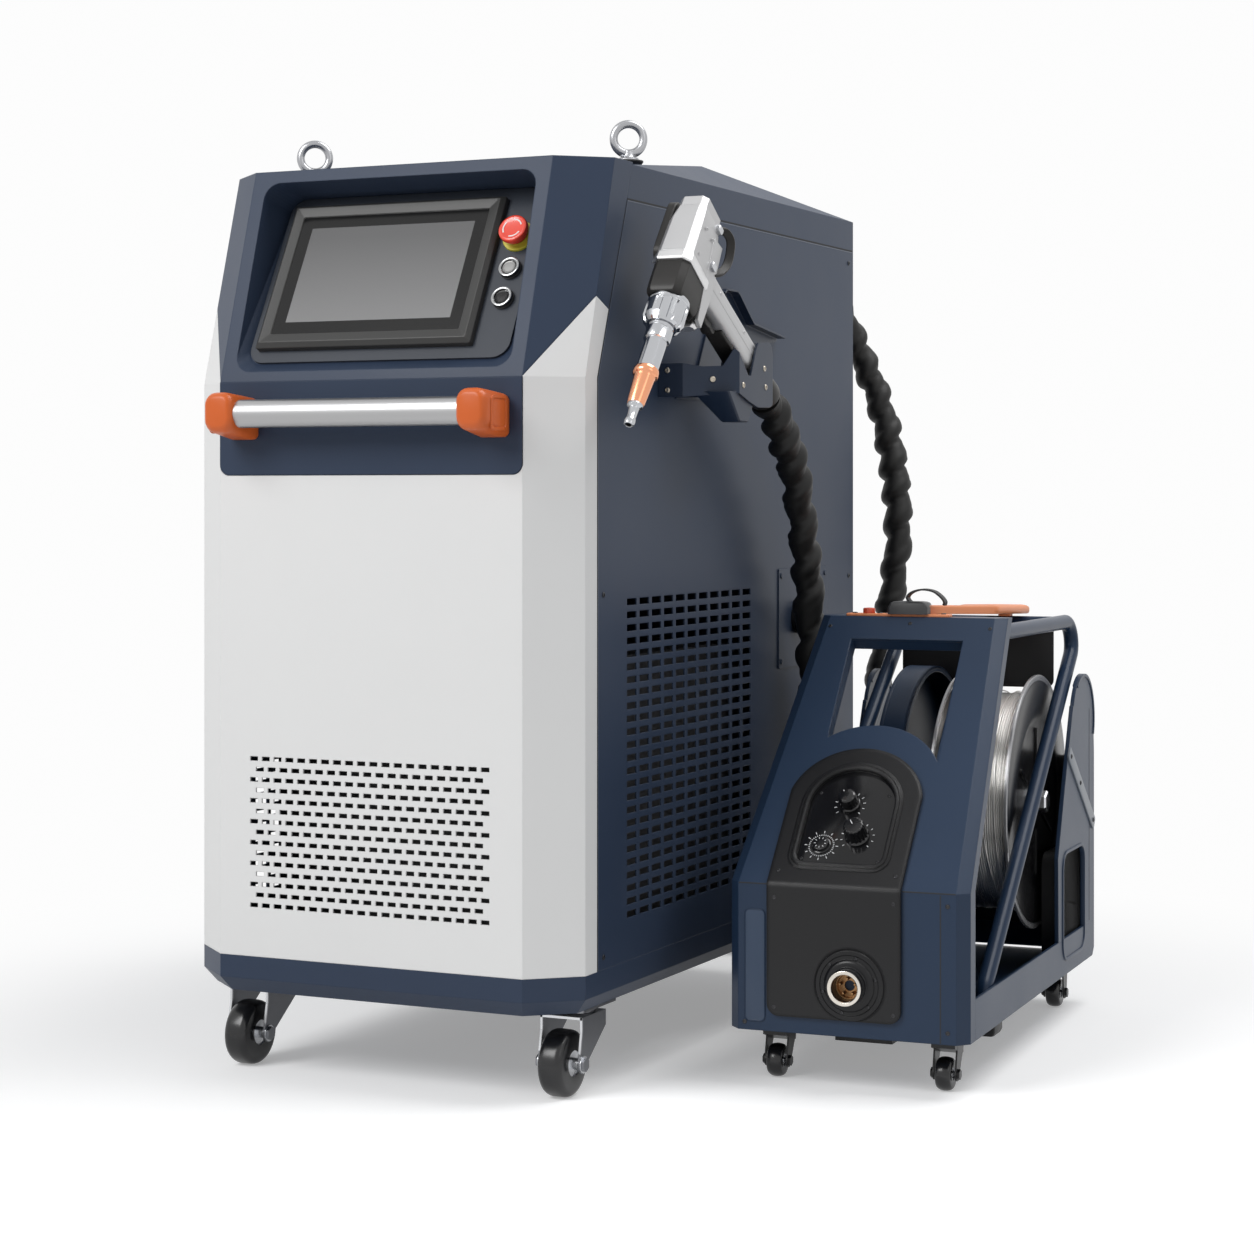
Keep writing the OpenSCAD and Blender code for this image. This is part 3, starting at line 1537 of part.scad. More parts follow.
chassis();
front_cover();
control_surround();
control_plate();
touch_screen();
button_collars();
stop_head();
start_button();
stop_button();
grab_bar();
grab_brackets();
side_panel_right();
side_panel_left();
access_plate();
access_lock();
lid();
rear_panel();
eye_bolts();
laser_source();
chiller();
castor_plates();
front_fork_left();
front_fork_right();
front_wheel_left();
front_wheel_right();
rear_forks();
rear_wheel_left();
rear_wheel_right();
holster();
torch_body();
torch_nose();
torch_barrel();
torch_nozzle();
torch_grip();
torch_sleeve();
torch_trigger();
umbilical_gland();
umbilical();
umbilical_coil();
feeder_base();
feeder_front();
feeder_pod();
speed_knob();
delay_knob();
mode_knob();
wire_socket();
feeder_cage();
feeder_handle();
spool_guard();
feeder_side_plate();
spool();
spool_wire();
wire_drive();
feeder_rear_forks();
feeder_fork_left();
feeder_fork_right();
feeder_wheel_fl();
feeder_wheel_fr();
feeder_wheel_rl();
feeder_wheel_rr();
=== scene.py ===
import bpy
import bmesh
import math
from mathutils import Matrix, Vector


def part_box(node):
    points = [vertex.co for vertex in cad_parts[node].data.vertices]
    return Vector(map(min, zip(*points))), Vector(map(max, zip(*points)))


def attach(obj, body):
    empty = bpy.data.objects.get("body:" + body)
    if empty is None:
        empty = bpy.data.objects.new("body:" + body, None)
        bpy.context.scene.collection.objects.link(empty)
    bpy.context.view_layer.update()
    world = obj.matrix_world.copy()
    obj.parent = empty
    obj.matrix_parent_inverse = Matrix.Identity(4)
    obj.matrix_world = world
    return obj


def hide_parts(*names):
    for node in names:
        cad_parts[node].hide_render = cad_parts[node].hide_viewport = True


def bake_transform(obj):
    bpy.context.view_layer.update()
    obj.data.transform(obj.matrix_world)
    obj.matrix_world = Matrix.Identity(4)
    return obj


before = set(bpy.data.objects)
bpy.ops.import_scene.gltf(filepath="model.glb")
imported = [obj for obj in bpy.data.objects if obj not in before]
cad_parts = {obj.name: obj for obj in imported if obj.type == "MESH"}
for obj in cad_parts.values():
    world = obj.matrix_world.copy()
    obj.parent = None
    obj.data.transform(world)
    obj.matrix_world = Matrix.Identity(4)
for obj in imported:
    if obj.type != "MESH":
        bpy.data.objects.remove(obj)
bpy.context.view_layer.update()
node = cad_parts

# Camera. It stands in front of the machine and to its right, level and at about
# hip height, with a long lens, as for a product photograph.
MM = 0.001
cab_half = 250
rear_face_y = 888
cab_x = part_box("side_panel_right")[1].x - cab_half * MM
cab_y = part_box("rear_panel")[0].y - rear_face_y * MM


def turn(axis, degrees):
    """A turn about one of the axes."""
    return Matrix.Rotation(math.radians(degrees), 4, axis)


def move(x, y, z):
    """A shift."""
    return Matrix.Translation((x, y, z))


cabinet = move(cab_x, cab_y, 0.0) @ Matrix.Scale(MM, 4)
camera_data = bpy.data.cameras.new("photo_camera")
camera_data.sensor_width = 36.0
camera_data.lens = 76.98
camera_data.shift_y = -0.1064
camera_data.clip_end = 100.0
camera = bpy.data.objects.new("photo_camera", camera_data)
bpy.context.scene.collection.objects.link(camera)
camera.location = cabinet @ Vector((1543.9, -2601.8, 672.8))
camera.rotation_euler = (math.radians(90.0), 0.0, math.radians(25.15))
bpy.context.scene.camera = camera
bpy.context.scene.view_settings.view_transform = "Standard"

# Studio. A white floor that keeps the soft shadow and fades into a white surround;
# a large soft box high at the front left, a weaker one at the right and one above.
room_light = 0.30
floor_glow = 0.30
fade_start, fade_end = 0.62, 1.45
paper_white = (0.98, 0.98, 0.98, 1.0)


def add_node(tree, kind, values=None):
    """A new shader node, with the values of its inputs by name."""
    made = tree.nodes.new("ShaderNode" + kind)
    for name, value in (values or {}).items():
        made.inputs[name].default_value = value
    return made


def join_nodes(tree, *joins):
    """Joins shader nodes; each join is a node, its output, the next node and its input."""
    for source, output, target, socket in joins:
        tree.links.new(source.outputs[output], target.inputs[socket])


world = bpy.data.worlds.new("studio")
bpy.context.scene.world = world
world.use_nodes = True
tree = world.node_tree
tree.nodes.clear()
rays = add_node(tree, "LightPath")
seen = add_node(tree, "Math")
seen.operation = "MAXIMUM"
seen_through = add_node(tree, "Math")
seen_through.operation = "MAXIMUM"
room = add_node(tree, "Background", {"Color": (0.95, 0.97, 1.0, 1.0), "Strength": room_light})
backdrop = add_node(tree, "Background", {"Color": paper_white, "Strength": 1.0})
mix = add_node(tree, "MixShader")
out = add_node(tree, "OutputWorld")
join_nodes(tree, (rays, "Is Camera Ray", seen, 0), (rays, "Is Glossy Ray", seen, 1), (seen, 0, seen_through, 0),
    (rays, "Is Transmission Ray", seen_through, 1), (seen_through, 0, mix, 0), (room, 0, mix, 1),
    (backdrop, 0, mix, 2), (mix, 0, out, "Surface"))

reach = 30.0
floor_mesh = bpy.data.meshes.new("studio_floor")
floor_corners = [(-reach, -reach, 0), (reach, -reach, 0), (reach, reach, 0), (-reach, reach, 0)]
floor_mesh.from_pydata(floor_corners, [], [(0, 1, 2, 3)])
floor = bpy.data.objects.new("studio_floor", floor_mesh)
bpy.context.scene.collection.objects.link(floor)
floor_paint = bpy.data.materials.new("studio_floor")
floor_paint.use_nodes = True
tree = floor_paint.node_tree
tree.nodes.clear()
rays = add_node(tree, "LightPath")
seen = add_node(tree, "Math")
seen.operation = "MAXIMUM"
matt = add_node(tree, "BsdfDiffuse", {"Color": (0.8, 0.8, 0.8, 1.0)})
glow = add_node(tree, "Emission", {"Color": (1.0, 1.0, 1.0, 1.0), "Strength": floor_glow})
both = add_node(tree, "AddShader")
place = add_node(tree, "TexCoord")
distance = add_node(tree, "VectorMath")
distance.operation = "LENGTH"
fade = add_node(tree, "MapRange", {"From Min": fade_start, "From Max": fade_end})
fade.interpolation_type = "SMOOTHSTEP"
plain = add_node(tree, "Emission", {"Color": paper_white})
away = add_node(tree, "MixShader")
pick = add_node(tree, "MixShader")
out = add_node(tree, "OutputMaterial")
join_nodes(tree, (matt, 0, both, 0), (glow, 0, both, 1), (place, "Object", distance, 0),
    (distance, "Value", fade, "Value"), (fade, "Result", away, 0), (both, 0, away, 1), (plain, 0, away, 2),
    (rays, "Is Camera Ray", seen, 0), (rays, "Is Glossy Ray", seen, 1), (seen, 0, pick, 0), (matt, 0, pick, 1),
    (away, 0, pick, 2), (pick, 0, out, "Surface"))
floor.data.materials.append(floor_paint)


def lamp(name, place, target, size, power):
    """A square soft box at place that faces target."""
    data = bpy.data.lights.new(name, "AREA")
    data.size = size
    data.energy = power
    light = bpy.data.objects.new(name, data)
    bpy.context.scene.collection.objects.link(light)
    light.location = place
    light.rotation_euler = (Vector(target) - Vector(place)).to_track_quat("-Z", "Y").to_euler()


lamp("key_lamp", (-1.7, -3.8, 3.4), (0.0, 0.0, 0.6), 2.4, 150.0)
lamp("side_lamp", (3.6, -1.6, 2.2), (0.2, 0.0, 0.5), 1.6, 7.0)
lamp("top_lamp", (1.6, 0.7, 4.0), (0.0, 0.1, 0.8), 2.4, 95.0)

# Umbilical. One hose from the rear strain relief down to a two-layer coil behind
# the cabinet and on to the torch, in a slack black textile sleeve that has been
# twisted over it.
rear_route = [(205, 936, 946), (205, 959, 926), (210, 981, 902), (222, 998, 868), (238, 1008, 826),
    (252, 1012, 780), (263, 1012, 730), (270, 1012, 680), (273, 1012, 630), (270, 1012, 580),
    (263, 1012, 530), (254, 1012, 480), (246, 1012, 420), (243, 1012, 350), (244, 1012, 280),
    (244, 1012, 220), (243, 1012, 170), (236, 1012, 120), (218, 1012, 80), (192, 1013, 50),
    (160, 1018, 28), (125, 1022, 20), (85, 1022, 20)]
torch_run = [(245, 1182, 61.5), (245, 1150, 61.5), (254, 1115, 56), (268, 1080, 44), (278, 1040, 33),
    (283, 1000, 25), (284, 955, 21), (283, 905, 20), (283, 855, 20), (284, 805, 21), (285, 766, 28),
    (285, 731, 43), (286, 700, 68), (286, 675, 102), (287, 658, 140), (287, 652, 190), (288, 650, 250),
    (288, 648, 310), (288, 645, 370), (289, 640, 425), (290, 631, 475), (292, 617, 525),
    (296, 597, 575), (300, 574, 622), (304, 548, 667), (308, 518, 708), (310, 486, 738),
    (310, 456, 768.6), (310, 421.6, 789)]
hose_r = 20
coil_x, coil_y, coil_r = 45, 1222, 200
coil_turns, rings_a_turn = 1.75, 24
layer_step = 41.5
climb_start, climb_sweep = 278.0, 60.0
coil_route = []
for i in range(1, int(coil_turns * rings_a_turn)):
    swept = 360.0 * i / rings_a_turn
    share = min(max((swept - climb_start) / climb_sweep, 0.0), 1.0)
    a = math.radians(270.0 - swept)
    coil_route.append((coil_x + coil_r * math.cos(a), coil_y + coil_r * math.sin(a),
        hose_r + layer_step * share * share * (3.0 - 2.0 * share)))


def spline_through(points, step):
    """Points every step or so on a smooth curve through the given ones."""
    points = [Vector(p) for p in points]
    line = []
    last = len(points) - 1
    for i in range(last):
        a, b = points[max(i - 1, 0)], points[i]
        c, d = points[i + 1], points[min(i + 2, last)]
        count = max(1, round((c - b).length / step))
        for k in range(count):
            t = k / count
            line.append(0.5 * (2.0 * b + (c - a) * t + (2.0 * a - 5.0 * b + 4.0 * c - d) * t * t
                + (3.0 * b - a - 3.0 * c + d) * t * t * t))
    line.append(points[-1])
    return line


def rings_along(line, sides, radius_at):
    """Rings square to a line, without twist; radius_at gives the radius by length and angle."""
    rings, run = [], 0.0
    ahead = (line[1] - line[0]).normalized()
    side = ahead.orthogonal().normalized()
    for i, p in enumerate(line):
        if i:
            run += (p - line[i - 1]).length
        ahead = (line[min(i + 1, len(line) - 1)] - line[max(i - 1, 0)]).normalized()
        side = (side - ahead * side.dot(ahead)).normalized()
        up = ahead.cross(side)
        ring = []
        for k in range(sides):
            a = 2.0 * math.pi * k / sides
            ring.append(p + (side * math.cos(a) + up * math.sin(a)) * radius_at(run, a))
        rings.append(ring)
    return rings


def skin(rings, round_trip=False, marks=None, ends=(0, 0)):
    """Faces between rings of equal count, with a finish number for each band and each end."""
    count = len(rings[0])
    verts = [tuple(v) for ring in rings for v in ring]
    faces, paints = [], []
    bands = len(rings) if round_trip else len(rings) - 1
    for i in range(bands):
        j = (i + 1) % len(rings)
        for k in range(count):
            m = (k + 1) % count
            faces.append((i * count + k, i * count + m, j * count + m, j * count + k))
            paints.append(marks[i] if marks else 0)
    if not round_trip:
        top = (len(rings) - 1) * count
        faces.append(tuple(range(count - 1, -1, -1)))
        faces.append(tuple(range(top, top + count)))
        paints += list(ends)
    return verts, faces, paints


class Form:
    """Parts in millimetres, gathered into one mesh that rides on a body."""

    def __init__(self):
        self.verts, self.faces, self.paints = [], [], []

    def add(self, shape, place, paint=None):
        verts, faces, paints = shape
        start = len(self.verts)
        self.verts += [tuple(place @ Vector(v)) for v in verts]
        self.faces += [tuple(start + i for i in face) for face in faces]
        self.paints += [paint] * len(faces) if paint is not None else paints

    def make(self, name, finishes, body, slot, crease=35.0):
        mesh = bpy.data.meshes.new(name)
        mesh.from_pydata(self.verts, [], self.faces)
        mesh.polygons.foreach_set("material_index", self.paints)
        work = bmesh.new()
        work.from_mesh(mesh)
        bmesh.ops.recalc_face_normals(work, faces=work.faces)
        work.to_mesh(mesh)
        work.free()
        mesh.shade_smooth()
        mesh.set_sharp_from_angle(angle=math.radians(crease))
        made = bpy.data.objects.new(name, mesh)
        bpy.context.scene.collection.objects.link(made)
        for one in finishes:
            mesh.materials.append(one)
        if body:
            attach(made, body)
        return made


haze_scale = 9.0
bump_share = 0.25
coat_rough = 0.08


def finish(name, colour, rough, metal=0.0, cloud=0.05, spread=0.0, grain=0.0, size=0.9, edge=0.8, coat=0.0,
        specular=0.5, stretch=(1.0, 1.0, 1.0)):
    """A surface with slight cloudiness, its own grain and edges that catch light; sizes in millimetres."""
    paint = bpy.data.materials.new(name)
    paint.use_nodes = True
    tree = paint.node_tree
    shader = tree.nodes["Principled BSDF"]
    for name, value in (("Metallic", metal), ("Roughness", rough), ("Specular IOR Level", specular),
            ("Coat Weight", coat), ("Coat Roughness", coat_rough)):
        shader.inputs[name].default_value = value
    place = add_node(tree, "TexCoord")
    mapping = add_node(tree, "Mapping", {"Scale": stretch})
    haze = add_node(tree, "TexNoise", {"Scale": haze_scale, "Detail": 6.0})
    tint = add_node(tree, "Mix")
    tint.data_type = "RGBA"
    tint.inputs["A"].default_value = (*[c * (1.0 - cloud) for c in colour], 1.0)
    tint.inputs["B"].default_value = (*[min(1.0, c * (1.0 + cloud)) for c in colour], 1.0)
    grit = add_node(tree, "TexNoise", {"Scale": 1000.0 / size, "Detail": 2.0})
    corner = add_node(tree, "Bevel", {"Radius": edge * MM})
    corner.samples = 4
    bump = add_node(tree, "Bump", {"Strength": grain, "Distance": bump_share * size * MM})
    join_nodes(tree, (place, "Object", mapping, "Vector"), (mapping, 0, haze, "Vector"),
        (mapping, 0, grit, "Vector"), (haze, "Fac", tint, "Factor"), (tint, "Result", shader, "Base Color"),
        (grit, "Fac", bump, "Height"), (corner, "Normal", bump, "Normal"), (bump, "Normal", shader, "Normal"))
    if spread:
        gloss = add_node(tree, "MapRange", {"To Min": max(0.02, rough - spread), "To Max": min(1.0, rough + spread)})
        join_nodes(tree, (haze, "Fac", gloss, "Value"), (gloss, "Result", shader, "Roughness"))
    return paint


crease_pitch, crease_width, crease_depth = 48.0, 0.22, 4.4
fold_pitch, fold_width, fold_depth = 31.0, 0.35, 1.9
sleeve_mean, sleeve_least = 19.8, 14.3
floor_clear = 0.4


def sleeve_radius(run, a):
    """Slack cloth twisted over the hose: it bulges between one deep spiral crease and a finer one."""
    twist = a - 2.0 * math.pi * run / crease_pitch + 1.5 * math.sin(run / 77.0) + 0.8 * math.sin(run / 31.0)
    fine = 2.0 * a - 2.0 * math.pi * run / fold_pitch + 2.4 * math.sin(run / 53.0)
    deep = math.exp(-(1.0 + math.cos(twist)) / crease_width)
    small = math.exp(-(1.0 + math.cos(fine)) / fold_width)
    slow = math.sin(run / 47.0 + 2.0 * math.sin(run / 190.0))
    bulge = 2.3 * math.cos(twist + 1.2) + 0.9 * slow
    return max(sleeve_least, sleeve_mean + bulge - crease_depth * deep - fold_depth * small)


sleeve_cloth = finish("sleeve_cloth", (0.010, 0.0098, 0.0095), 0.50, cloud=0.3, spread=0.08, grain=0.5,
    size=1.1, specular=0.33)
hose_line = spline_through(rear_route + coil_route + torch_run, 4.0)
hose = Form()
hose_rings = rings_along(hose_line, 28, sleeve_radius)
hose.add(skin([[(v.x, v.y, max(v.z, floor_clear)) for v in ring] for ring in hose_rings]), cabinet)
umbilical = hose.make("umbilical_hose", [sleeve_cloth], None, "black_rubber", 70.0)
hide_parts("umbilical", "umbilical_coil")
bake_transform(umbilical)

# Cabinet shell. Folded steel panels under navy powder coat on a welded chassis, a
# white powder-coated front cover, and the laser source and chiller inside, which
# show only through the vents.
cabinet_navy = finish("cabinet_navy", (0.027, 0.041, 0.073), 0.40, cloud=0.07, spread=0.05, grain=0.35,
    edge=1.8, specular=0.21)
cover_white = finish("cover_white", (0.72, 0.72, 0.715), 0.50, cloud=0.012, spread=0.05, grain=0.3,
    edge=1.8, specular=0.35)
plate_grey = finish("plate_grey", (0.030, 0.036, 0.048), 0.42, cloud=0.06, grain=0.3, size=0.8,
    edge=1.0, specular=0.3)
unit_grey = finish("unit_grey", (0.05, 0.05, 0.052), 0.6, grain=0.3, cloud=0.08)


def paint_nodes(paint, *names):
    """Gives CAD nodes a finish."""
    for name in names:
        node[name].data.materials.clear()
        node[name].data.materials.append(paint)


paint_nodes(cabinet_navy, "chassis", "control_surround", "side_panel_left", "side_panel_right", "access_plate",
    "lid", "rear_panel")
paint_nodes(cover_white, "front_cover")
paint_nodes(plate_grey, "control_plate")
paint_nodes(unit_grey, "laser_source", "chiller")

# Touch screen. A moulded dark grey housing with a slanted band, a glass front
# that is black round its edge, and a grey display that is off, with a painted
# reflection that makes it lighter towards the bottom and darker towards the top;
# clamped to the control plate from behind.
kink_z, face_rise = 801, 73.3
plate_low, plate_deep, plate_tilt, plate_t = 24, 10, 11.0, 3
screen_x, screen_y = -18, 113
slope = cabinet @ move(0, 0, kink_z) @ turn("X", face_rise)
control = slope @ move(0, plate_low, -plate_deep) @ turn("X", -plate_tilt)
housing_grey = finish("housing_grey", (0.038, 0.038, 0.037), 0.38, cloud=0.05, grain=0.25, size=0.7,
    edge=0.9, specular=0.35)
glass_black = finish("glass_black", (0.008, 0.008, 0.008), 0.12, cloud=0.05, specular=0.3, edge=0.3)
display_grey = finish("display_grey", (0.12, 0.12, 0.122), 0.30, cloud=0.04, coat=0.35, edge=0.3)
# The display's colour ramp is a painted reflection: lighter grey low on the screen, darker grey high on it.
shade_low, shade_high = 0.84, 0.97
tree = display_grey.node_tree
place = add_node(tree, "TexCoord")
split = add_node(tree, "SeparateXYZ")
ramp = add_node(tree, "MapRange", {"From Min": shade_low, "From Max": shade_high})
shade = add_node(tree, "Mix")
shade.data_type = "RGBA"
shade.inputs["A"].default_value = (0.175, 0.175, 0.176, 1.0)
shade.inputs["B"].default_value = (0.075, 0.075, 0.077, 1.0)
join_nodes(tree, (place, "Object", split, 0), (split, "Z", ramp, "Value"), (ramp, "Result", shade, "Factor"),
    (shade, "Result", tree.nodes["Principled BSDF"], "Base Color"))


def rounded(w, h, r, steps=5, x=0.0, y=0.0):
    """Outline of a rectangle with round corners."""
    line = []
    for sx, sy, start in ((1, 1, 0), (-1, 1, 90), (-1, -1, 180), (1, -1, 270)):
        for k in range(steps + 1):
            a = math.radians(start + 90.0 * k / steps)
            line.append((x + sx * (w / 2 - r) + r * math.cos(a), y + sy * (h / 2 - r) + r * math.sin(a)))
    return line


def level(line, z):
    """An outline as a ring at a height."""
    return [(x, y, z) for x, y in line]


screen = Form()
rings = []
for w, h, r, z in ((281, 194, 2.5, 0.0), (281, 194, 2.5, 6.5), (280, 193, 2.2, 7.4), (271, 184, 1.5, 12.0),
        (269, 182, 1.4, 12.1), (249, 162, 1.2, 10.2), (247, 160, 1.2, 9.9), (246, 159, 1.2, 8.9),
        (216, 128, 0.8, 8.9)):
    rings.append(level(rounded(w, h, r, 3), z))
screen.add(skin(rings, marks=[0, 0, 0, 0, 0, 0, 0, 1], ends=(0, 2)), control @ move(screen_x, screen_y, plate_t))
touch = screen.make("touch_screen_panel", [housing_grey, glass_black, display_grey], "cabinet", "black_gloss", 12.0)
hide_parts("touch_screen")

# Push buttons. An emergency stop with a red turned head on a yellow plastic
# collar, and two push buttons in bright rings, each screwed through the plate.
button_x, stop_y, start_y, halt_y = 147, 158, 115, 76
head_out = 11.2
stop_at = control @ move(button_x, stop_y, plate_t)
head_at = control @ move(button_x, stop_y, head_out)
stop_yellow = finish("stop_yellow", (0.56, 0.50, 0.045), 0.38, cloud=0.05, edge=0.5)
stop_red = finish("stop_red", (0.84, 0.060, 0.030), 0.25, cloud=0.04, coat=0.4, edge=0.5)
arc_white = finish("arc_white", (0.85, 0.80, 0.78), 0.4, cloud=0.02, edge=0.2)
bright_ring = finish("bright_ring", (0.36, 0.365, 0.37), 0.16, metal=1.0, cloud=0.05, spread=0.04, edge=0.4)
cap_grey = finish("cap_grey", (0.25, 0.25, 0.245), 0.34, metal=0.3, cloud=0.05, edge=0.4)
cap_black = finish("cap_black", (0.006, 0.006, 0.007), 0.22, cloud=0.1, edge=0.4, specular=0.3)
ring_base = finish("ring_base", (0.02, 0.02, 0.021), 0.4, cloud=0.1, edge=0.4)


def turned(profile, sides=48, wave=None, hollow=False, marks=None, ends=(0, 0)):
    """A part turned round Z from (radius, height) points; wave may change the radius by angle and height."""
    rings = []
    for r, z in profile:
        ring = []
        for k in range(sides):
            a = 2.0 * math.pi * k / sides
            s = wave(a, r, z) if wave else r
            ring.append((s * math.cos(a), s * math.sin(a), z))
        rings.append(ring)
    return skin(rings, round_trip=hollow, marks=marks, ends=ends)


collar = Form()
collar.add(turned([(11.0, 0.0), (19.5, 0.0), (19.5, 2.2), (19.0, 3.0), (14.0, 3.2), (11.0, 3.2)], 64,
    hollow=True), stop_at)
collar.add(turned([(11.0, 2.9), (13.6, 2.9), (13.4, 3.2), (13.0, 3.45), (11.0, 3.45)], 64, hollow=True), stop_at)
collar = collar.make("stop_collar", [stop_yellow], "cabinet", "yellow_plastic")
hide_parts("button_collars")
rings = Form()
for y in (start_y, halt_y):
    rings.add(turned([(8.9, 0.0), (13.2, 0.0), (13.2, 1.8), (12.7, 2.0), (12.9, 6.0), (12.5, 6.9), (11.6, 7.3),
        (10.2, 7.2), (9.4, 6.6), (9.2, 4.2), (8.9, 4.2)], 56, hollow=True,
        marks=[1, 1, 1, 1, 0, 0, 0, 0, 0, 0, 1]), control @ move(button_x, y, plate_t))
rings.make("button_rings", [bright_ring, ring_base], "cabinet", "bright_steel")
head = Form()
head.add(turned([(7.0, -10.5), (7.0, -3.1), (10.4, -2.9), (10.4, 0.4), (14.6, 0.6), (15.6, 1.4), (15.9, 4.6),
    (17.2, 5.2), (17.6, 6.2), (17.5, 9.6), (16.9, 11.0), (15.6, 11.8), (14.0, 12.0), (12.8, 11.6), (9.0, 11.2),
    (2.0, 11.1)], 72), head_at)
arrow_out, arrow_in = 12.0, 10.4
for k in range(3):
    outer, inner = [], []
    for i in range(13):
        a = math.radians(20 + 120 * k + 72 * i / 12)
        outer.append((arrow_out * math.cos(a), arrow_out * math.sin(a)))
        inner.append((arrow_in * math.cos(a), arrow_in * math.sin(a)))
    arc = outer + inner[::-1]
    head.add(skin([level(arc, 11.0), level(arc, 11.75)], marks=[1], ends=(1, 1)), head_at)
head = head.make("stop_head_red", [stop_red, arc_white], "stop_head", "red_plastic")
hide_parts("stop_head")
for name, y, cap in (("start_button", start_y, cap_grey), ("stop_button", halt_y, cap_black)):
    button = Form()
    button.add(turned([(6.0, -13.0), (6.0, 2.0), (8.4, 2.2), (8.4, 5.2), (8.1, 5.8), (7.4, 6.2), (6.4, 6.1),
        (6.0, 5.8), (2.0, 5.9)], 48), control @ move(button_x, y, plate_t))
    button = button.make(name + "_cap", [cap], name, "bright_steel" if name == "start_button" else "black_plastic")
    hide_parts(name)

# Grab bar. A satin drawn aluminium tube between two moulded orange brackets; each
# bracket has a recessed panel on its outer side and is screwed on from behind.
bar_z, bracket_x = 763, 162
bar_satin = finish("bar_satin", (0.43, 0.43, 0.435), 0.34, metal=1.0, grain=0.12, cloud=0.03, spread=0.06,
    stretch=(0.03, 1.0, 1.0))
bracket_orange = finish("bracket_orange", (0.60, 0.115, 0.020), 0.34, cloud=0.04, grain=0.2, size=0.8,
    edge=1.2, specular=0.35)
paint_nodes(bar_satin, "grab_bar")


def shrunk(line, by):
    """The outline moved inwards by a distance; the outline runs counter-clockwise."""
    inner = []
    for i, (x, y) in enumerate(line):
        ax, ay = x - line[i - 1][0], y - line[i - 1][1]
        bx, by_ = line[(i + 1) % len(line)][0] - x, line[(i + 1) % len(line)][1] - y
        a, b = math.hypot(ax, ay), math.hypot(bx, by_)
        n = (-ay / a - by_ / b, ax / a + bx / b)
        k = 1.0 + (-ay / a) * (-by_ / b) + (ax / a) * (bx / b)
        inner.append((x + n[0] * by / k, y + n[1] * by / k))
    return inner


def frame_plate(outer, inner, low, high, edge, mark=0):
    """A flat ring between two outlines of equal count, with soft upper edges."""
    rings = [level(inner, low), level(outer, low), level(outer, high - edge),
        level(shrunk(outer, edge * 0.3), high - edge * 0.3), level(shrunk(outer, edge), high),
        level(shrunk(inner, -edge), high), level(shrunk(inner, -edge * 0.3), high - edge * 0.3),
        level(inner, high - edge)]
    return skin(rings, round_trip=True, marks=[mark] * len(rings))


brackets = Form()
for s in (-1, 1):
    at = cabinet @ move(s * bracket_x, 0, bar_z)
    rings = []
    for y, w, h, r, z in ((-60, 25, 30, 8, 2), (-59.3, 29, 35, 10, 2), (-57, 33.5, 41, 12, 1.6),
            (-53.5, 36.5, 45, 13, 1.2), (-50, 37.4, 46.5, 13, 1), (-30, 38, 47.5, 11, -1.5), (-6, 38, 48, 7, -4.6),
            (-0.9, 37, 47, 7, -5)):
        rings.append([(s * px, y, pz + z) for px, pz in rounded(w, h, r, 5)])
    brackets.add(skin(rings), at)
    side = at @ move(s * 18.7, -26, -2.4) @ turn("Z", 90 * s) @ turn("X", 90)
    brackets.add(frame_plate(rounded(39, 39, 8), rounded(31, 31, 5), -0.4, 1.1, 0.5), side)
brackets = brackets.make("bar_brackets", [bracket_orange], "cabinet", "orange_paint", 40.0)
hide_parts("grab_brackets")

# Lifting eyes. Forged and zinc-plated rings on a collar, screwed into the lid's
# bosses over a black washer.
eye_zinc = finish("eye_zinc", (0.40, 0.405, 0.42), 0.26, metal=1.0, cloud=0.12, spread=0.08, grain=0.2, size=1.2)
washer_black = finish("washer_black", (0.014, 0.014, 0.015), 0.5, cloud=0.15, grain=0.2)
eye_x, eye_y, boss_top_z = 214, 235, 1060
eye_ring_r, eye_wire_r, eye_swell = 17.5, 4.8, 0.7
eye_up, eye_turn = 27, 32
eyes = Form()
for s in (-1, 1):
    at = cabinet @ move(s * eye_x, eye_y, boss_top_z)
    rings = []
    for i in range(40):
        a = 2.0 * math.pi * i / 40
        wire = eye_wire_r + eye_swell * max(0.0, -math.sin(a)) ** 2
        rings.append([((eye_ring_r + wire * math.cos(b)) * math.cos(a), wire * math.sin(b),
            (eye_ring_r + wire * math.cos(b)) * math.sin(a)) for b in [2.0 * math.pi * k / 16 for k in range(16)]])
    eyes.add(skin(rings, round_trip=True), at @ move(0, 0, eye_up) @ turn("Z", eye_turn))
    eyes.add(turned([(11.6, 0.4), (12.2, 1.0), (12.2, 3.6), (11.2, 4.6), (8.6, 5.2), (6.8, 7.4), (6.4, 10.5),
        (6.0, 13.0)], 32), at)
    eyes.add(turned([(5.4, -16), (17.4, -0.2), (17.4, 1.2), (16.8, 1.6), (5.4, 1.6)], 40, marks=[1] * 5,
        hollow=True), at)
eyes = eyes.make("lifting_eyes", [eye_zinc, washer_black], "cabinet", "bright_steel")
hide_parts("eye_bolts")

